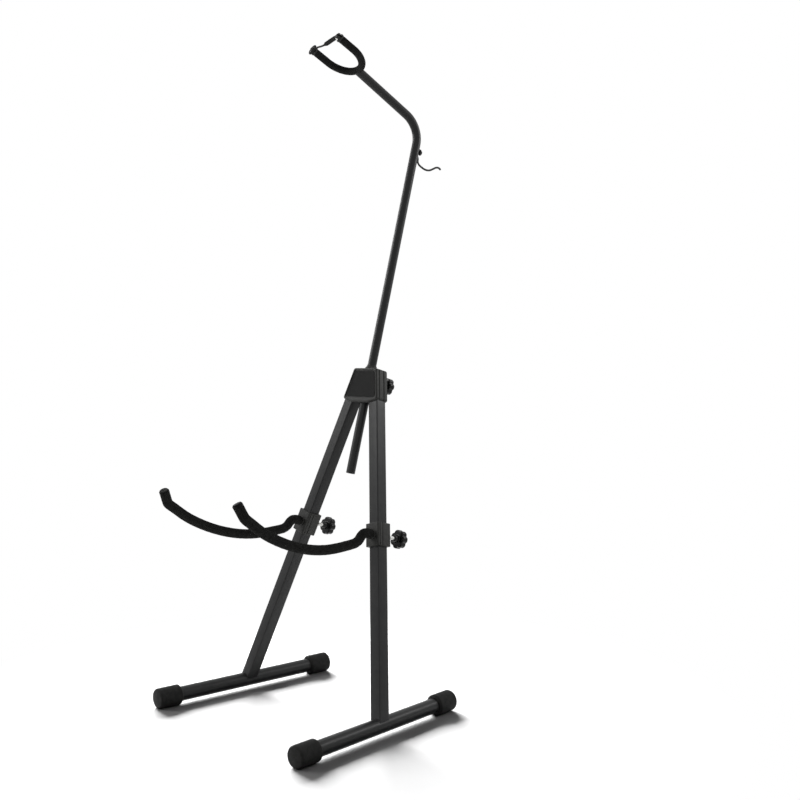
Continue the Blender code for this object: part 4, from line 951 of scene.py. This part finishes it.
def makeStrap():
    place = yokeFrame @ shifted(yoke["radius"], strapLevel, 0)
    half = yoke["tabWidth"] / 2
    minor = yoke["cord"] / 2
    ring = yoke["ring"] / 2
    reach = 2 * yoke["radius"]
    straight = yoke["tabLength"] - yoke["tabTaper"]
    stations = [(-half * cosine, half * sine) for sine, cosine in quarter(10)[1:]]
    stations += [(straight * step / 20, half) for step in range(1, 21)]
    for step in range(1, 11):
        share = step / 10
        ease = share * share * (3 - 2 * share)
        stations.append((straight + yoke["tabTaper"] * share,
                         half + (yoke["tabEnd"] / 2 - half) * ease))
    rings = []
    for along, side in stations:
        section = []
        thick = min(yoke["strapThickness"] / 2, side)
        for angle in around(24, 0.5):
            across = copysign(abs(cos(angle)) ** 0.35, cos(angle)) * side
            high = copysign(abs(sin(angle)) ** 0.55, sin(angle)) * thick
            section.append((-along, across, high + strapSag(along)))
        rings.append(section)
    start = yoke["tabLength"] - yoke["cordOverlap"]
    line = [Vector((-along, 0, strapSag(along))) for along in
            (start + (reach - ring - start) * step / 16 for step in range(17))]
    section = [(ring + minor * cos(angle), minor * sin(angle)) for angle in around(20)]
    loop = moved(lathe(section, 72), shifted(-reach, 0, 0))
    strap = cut(loft(rings), [sweep(line, minor, 20), loop], "UNION")
    hole = rod(yoke["rivetHole"], -0.01, 0.01, 24, "Z")
    addPiece("neckStrap", cut(strap, [hole]), place, angle=50)

    face = yoke["capNeck"] / 2 + gap
    head = yoke["rivetHead"] / 2
    high = yoke["rivetHeadHeight"]
    dome = [(0, face + high)]
    dome += [(head * sine, face + high * cosine ** 0.8) for sine, cosine in quarter(6)[1:]]
    dome += [(yoke["rivet"] / 2, face)]
    profile = dome + [(across, -level) for across, level in reversed(dome)]
    addPiece("strapRivet", lathe(profile, 32, "Z"), place)


makeYoke()
makeStrap()
print("yoke made")


# Bow hook

hook = {
    "wire": 0.0046, "eye": 0.0058, "eyeStart": radians(-60), "eyeDrop": 0.0069,
    "eyeDraw": 0.0011, "rounding": 0.0012, "step": 0.0016, "screwHead": 0.0115,
    "screwHeadHeight": 0.004, "screwDome": 0.0026, "screwEdge": 0.0004, "screwShank": 0.003,
    "slotHalf": 0.0036, "slotWidth": 0.001, "slotDepth": 0.0012,
    "route": ((0.0127, -0.016), (0.014, -0.023), (0.0186, -0.0277), (0.027, -0.0305),
              (0.0385, -0.032), (0.05, -0.0295), (0.061, -0.0215), (0.069, -0.015),
              (0.076, -0.0128), (0.083, -0.015)),
}


def makeHook():
    radius = hook["wire"] / 2
    level = tubeRadius + gap + radius
    eye = []
    for step in range(25):
        angle = hook["eyeStart"] + (pi - hook["eyeStart"]) * step / 24
        eye.append(Vector((hook["eye"] * cos(angle), level, hook["eye"] * sin(angle))))
    tail = [eye[-1], Vector((hook["eyeDraw"] - hook["eye"], level, -hook["eyeDrop"]))]
    tail += [Vector((0, behind, above)) for behind, above in hook["route"]]
    line = eye + smoothLine(tail, hook["step"])[1:]
    points, radii = softEnded(line, radius, hook["rounding"], 5)
    addPiece("bowHook", loft(sweepRings(points, radii, 20)), hookFrame, angle=60)

    under = level + radius + gap
    top = under + hook["screwHeadHeight"]
    head = hook["screwHead"] / 2
    shank = hook["screwShank"]
    tip = tubeRadius - neck["wall"]
    profile = [(head * sine, top - hook["screwDome"] * (1 - cosine)) for sine, cosine in quarter(8)]
    profile += filleted([(head, top - hook["screwDome"]), (head, under), (shank, under),
                         (shank, tip), (0, tip)], hook["screwEdge"], 3)
    thin = hook["slotWidth"] / 2
    slot = boxMesh((-hook["slotHalf"], top - hook["slotDepth"], -thin),
                   (hook["slotHalf"], top + 0.002, thin))
    addPiece("hookScrew", cut(lathe(profile, 48), [slot]), hookFrame @ turned(0.5, "Y"),
             "bow_hook_screw")


makeHook()
print("bow hook made")


# Legs, foot bars and arms

leg = {"size": 0.027, "wall": 0.0015, "corner": 0.0021, "abovePivot": 0.01, "mitre": 0.0022,
       "bar": 0.0315, "barWall": 0.0015, "barFront": 0.2335, "barRear": 0.224, "bead": 0.0009,
       "beadRipple": 0.00018, "beadWave": 1.9, "beadStep": 0.0011, "beadInset": 0.0003}
footCap = {"diameter": 0.044, "length": 0.058, "bore": 0.044, "chamfer": 0.0045, "dome": 0.002,
           "edge": 0.005, "mouthEdge": 0.0007, "sideLevels": (-0.018, -0.028, -0.038, -0.048)}
arm = {
    "sleeve": 0.038, "sleeveHeight": 0.05, "sleeveEdge": 0.0016, "sleeveRounding": 0.0012,
    "chamfer": 0.003, "grooveWidth": 0.002, "grooveDepth": 0.0012, "grooves": (0.005, 0.013),
    "socket": 0.017, "socketLength": 0.003, "socketEdge": 0.0007, "skirt": 0.0022,
    "skirtLength": 0.002, "skirtEdge": 0.0006, "rooted": 0.003, "rod": 0.01, "foam": 0.021,
    "clear": 0.0005, "plugThickness": 0.002, "plug": 0.0192, "knobTurn": 12, "step": 0.0016,
    "tipInward": 0.0076, "tipStart": 0.3385, "tipRun": 0.0136,
    "route": ((0.0173, 0.0044), (0.0237, 0.0043), (0.0294, 0.0013), (0.0399, -0.0086),
              (0.0473, -0.0121), (0.0623, -0.0144), (0.0795, -0.0157), (0.0966, -0.0167),
              (0.1134, -0.017), (0.13, -0.0166), (0.1627, -0.013), (0.2, -0.0047),
              (0.25, 0.0131), (0.297, 0.0378), (0.325, 0.0582), (0.332, 0.0632),
              (0.3355, 0.0658), (0.3381, 0.0684), (0.34, 0.0714), (0.342, 0.0758),
              (0.3521, 0.098)),
}
sleeveBore = leg["size"] + 2 * gap
barRadius = leg["bar"] / 2


def squareOutline(size, corner, steps=8):
    half = size / 2
    return roundedOutline([(-half, -half), (half, -half), (half, half), (-half, half)], corner,
                          steps)


def makeLegTube(word, sign, place, bar):
    levels = [-pivotAlongLeg, -pivotAlongLeg + 0.05, -pivotAlongLeg / 2, -0.06,
              leg["abovePivot"]]
    outer = squareOutline(leg["size"], leg["corner"], 6)
    inner = squareOutline(leg["size"] - 2 * leg["wall"], leg["corner"] - leg["wall"], 6)
    wall = [[(x, y, level) for x, y in outer] for level in levels]
    bore = [[(x, y, level) for x, y in inner] for level in levels]
    cope = moved(rod(barRadius + gap / 2, -0.08, 0.08, 64), place.inverted() @ bar)
    mitre = boxMesh((min(0, sign * 0.02), -0.03, -0.03), (max(0, sign * 0.02), 0.03, 0.03))
    mitre.transform(shifted(sign * leg["size"] / 2, 0, leg["mitre"])
                    @ turned(-sign * legAngle, "Y"))
    hole = rod(casing["boltDiameter"] / 2 + gap, -0.03, 0.03)
    tube = cut(loft(wall + bore[::-1], True), [cope, mitre, hole])
    addPiece(word + "Leg", tube, place, word + "_leg_tube")


def makeWeld(word, place, bar):  # the bead around the foot of a leg
    toBar = bar.inverted() @ place
    inset = leg["beadInset"]
    line = []
    for x, y in squareOutline(leg["size"] + 2 * inset, leg["corner"] + inset):
        high = toBar @ Vector((x, y, -pivotAlongLeg + 0.1))
        down = toBar.to_3x3() @ Vector((0, 0, -1))
        a = down.x ** 2 + down.z ** 2
        b = 2 * (high.x * down.x + high.z * down.z)
        c = high.x ** 2 + high.z ** 2 - barRadius ** 2
        reach = (-b - sqrt(max(b * b - 4 * a * c, 0))) / (2 * a)
        line.append(high + down * reach)
    line = evenLine(line + line[:1], leg["beadStep"])[:-1]
    rings = []
    for index, point in enumerate(line):
        ahead = (line[(index + 1) % len(line)] - line[index - 1]).normalized()
        out = Vector((point.x, 0, point.z)).normalized()
        out = (out - ahead * out.dot(ahead)).normalized()
        side = ahead.cross(out)
        size = leg["bead"] + leg["beadRipple"] * sin(index * leg["beadWave"])
        rings.append([point + size * (out * cos(angle) + side * sin(angle))
                      for angle in around(12)])
    addPiece(word + "FootWeld", loft(rings, True), bar, word + "_leg_tube", 70, False)


def makeFootCap(name, place):
    radius = footCap["diameter"] / 2
    bore = barRadius + gap
    edge = footCap["edge"]
    dome = footCap["dome"]
    flat = radius - edge
    start = -footCap["length"]
    floor = start + footCap["bore"]
    profile = [(flat * step / 6, -dome * (step / 6) ** 2) for step in range(7)]
    profile += [(flat + edge * sine, -dome - edge * (1 - cosine)) for sine, cosine in quarter(8)[1:]]
    profile += [(radius, level) for level in footCap["sideLevels"]]
    mouth = filleted([(radius, -0.01), (radius, start + footCap["chamfer"]),
                      (radius - footCap["chamfer"], start), (bore, start), (bore, start + 0.002),
                      (bore, floor), (0, floor)], footCap["mouthEdge"], 3)
    mesh = moved(lathe(profile + mouth[1:], 72), place)
    for vertex in mesh.vertices:
        vertex.co.z = max(vertex.co.z, 0.0)
    addPiece(name, mesh, Matrix.Identity(4))


def makeFoot(word, bar):
    hidden = footCap["length"] - footCap["bore"] + gap
    front = -leg["barFront"] + hidden
    rear = leg["barRear"] - hidden
    line = [Vector((0, front + (rear - front) * step / 12, 0)) for step in range(13)]
    addPiece(word + "FootBar", sweepTube(line, barRadius, barRadius - leg["barWall"], 64), bar)
    makeFootCap(word + "FrontFootCap", bar @ turned(pi, "Z") @ shifted(0, leg["barFront"], 0))
    makeFootCap(word + "RearFootCap", bar @ shifted(0, leg["barRear"], 0))


def sleeveBody(place, armPlace):
    half = arm["sleeve"] / 2
    high = arm["sleeveHeight"] / 2
    edge = arm["sleeveEdge"]
    rings = []
    for inset, level in filleted([(edge, -high), (0, -high + gap), (0, high - gap),
                                  (edge, high)], arm["sleeveRounding"]):
        outline = squareOutline(arm["sleeve"] - 2 * inset, arm["chamfer"] - inset * 0.5)
        rings.append([(x, y, level) for x, y in outline])
    into = place.inverted() @ armPlace @ turned(-fit["legLean"], "X")
    socket = arm["socket"] / 2
    skirt = socket + arm["skirt"]
    front = -arm["socketLength"]
    brim = -arm["skirtLength"]
    root = arm["rooted"]
    boss = filleted([(0, root), (socket, root), (socket, front), (0, front)], arm["socketEdge"])
    flare = filleted([(0, root), (skirt, root), (skirt, -0.0004), (socket, brim), (0, brim)],
                     arm["skirtEdge"], 3)
    added = [moved(lathe(profile, 56), into) for profile in (boss, flare)]
    body = cut(loft(rings), added, "UNION")
    bore = sleeveBore / 2
    tools = [boxMesh((-bore, -bore, -beyond), (bore, bore, beyond)),
             moved(rod(arm["rod"] / 2 + gap, -0.03, 0.01), into)]
    low = half - arm["grooveDepth"]
    wide = arm["grooveWidth"] / 2
    points = [(low, -wide * 0.5), (low, wide * 0.5), (half + overlap, wide * 1.2),
              (half + overlap, -wide * 1.2)]
    for back in arm["grooves"]:
        for face in (1, -1):
            tools.append(loft([[(face * x, -half + back + wide + y, level) for x, y in points]
                               for level in (-beyond, beyond)]))
    tools.append(rod(knob["screw"] / 2 + gap, 0, 0.03))
    return cut(body, tools)


def makeArm(word, sign, place):
    half = arm["sleeve"] / 2
    sleevePlace = frameOf(jointAt(word + "_arm_clamp_turn"), place.col[0].xyz, headAhead)
    armOrigin = sleevePlace @ Vector((0, -half, 0))
    armPlace = shifted(*armOrigin) @ turned(sign * fit["armSplay"], "Z")
    addPiece(word + "ArmSleeve", sleeveBody(sleevePlace, armPlace), sleevePlace)
    makeClamp(word + "Arm", sleevePlace, half, leg["size"] / 2 + gap, knob["armStandoff"],
              arm["knobTurn"] * sign)

    wall = (arm["sleeve"] - sleeveBore) / 2
    ahead = Vector((0, -cos(fit["legLean"]), sin(fit["legLean"])))
    points = [-ahead * (wall - gap), ahead * arm["socketLength"]]
    for reach, above in arm["route"]:
        inward = arm["tipInward"] * max(0, reach - arm["tipStart"]) / arm["tipRun"]
        points.append(Vector((-sign * inward, -reach, above)))
    line = smoothLine(points, arm["step"])
    radius = arm["rod"] / 2
    end = arm["plugThickness"] + gap
    addPiece(word + "ArmRod", sweep(trimmed(line, 0, end), radius, 28), armPlace)
    covered = trimmed(line, wall + arm["socketLength"] + arm["clear"], end)
    sleeve = foamMesh(covered, arm["foam"] / 2, radius + gap)
    piece = addPiece(word + "ArmFoam", sleeve, armPlace, angle=60)

    facing = (line[-1] - line[-2]).to_track_quat("Y", "Z").to_matrix().to_4x4()
    thick = arm["plugThickness"]
    wide = arm["plug"] / 2
    profile = filleted([(0, -0.0001), (wide * 0.6, -0.0002), (wide * 0.93, -0.0008),
                        (wide * 0.93, -thick), (0, -thick)], 0.0006)
    addPiece(word + "ArmPlug", lathe(profile, 40), armPlace @ shifted(*line[-1]) @ facing)


for word, sign in bothSides:
    legPlace = (headFrame @ shifted(sign * fit["pivotOffset"], 0, 0)
                @ turned(-sign * legAngle, "Y"))
    barOrigin = legPlace @ Vector((0, 0, -pivotAlongLeg))
    barPlace = shifted(*barOrigin) @ turned(sign * barSplay, "Z")
    makeLegTube(word, sign, legPlace, barPlace)
    makeWeld(word, legPlace, barPlace)
    makeFoot(word, barPlace)
    makeArm(word, sign, legPlace)
    print(word, "leg and arm made")
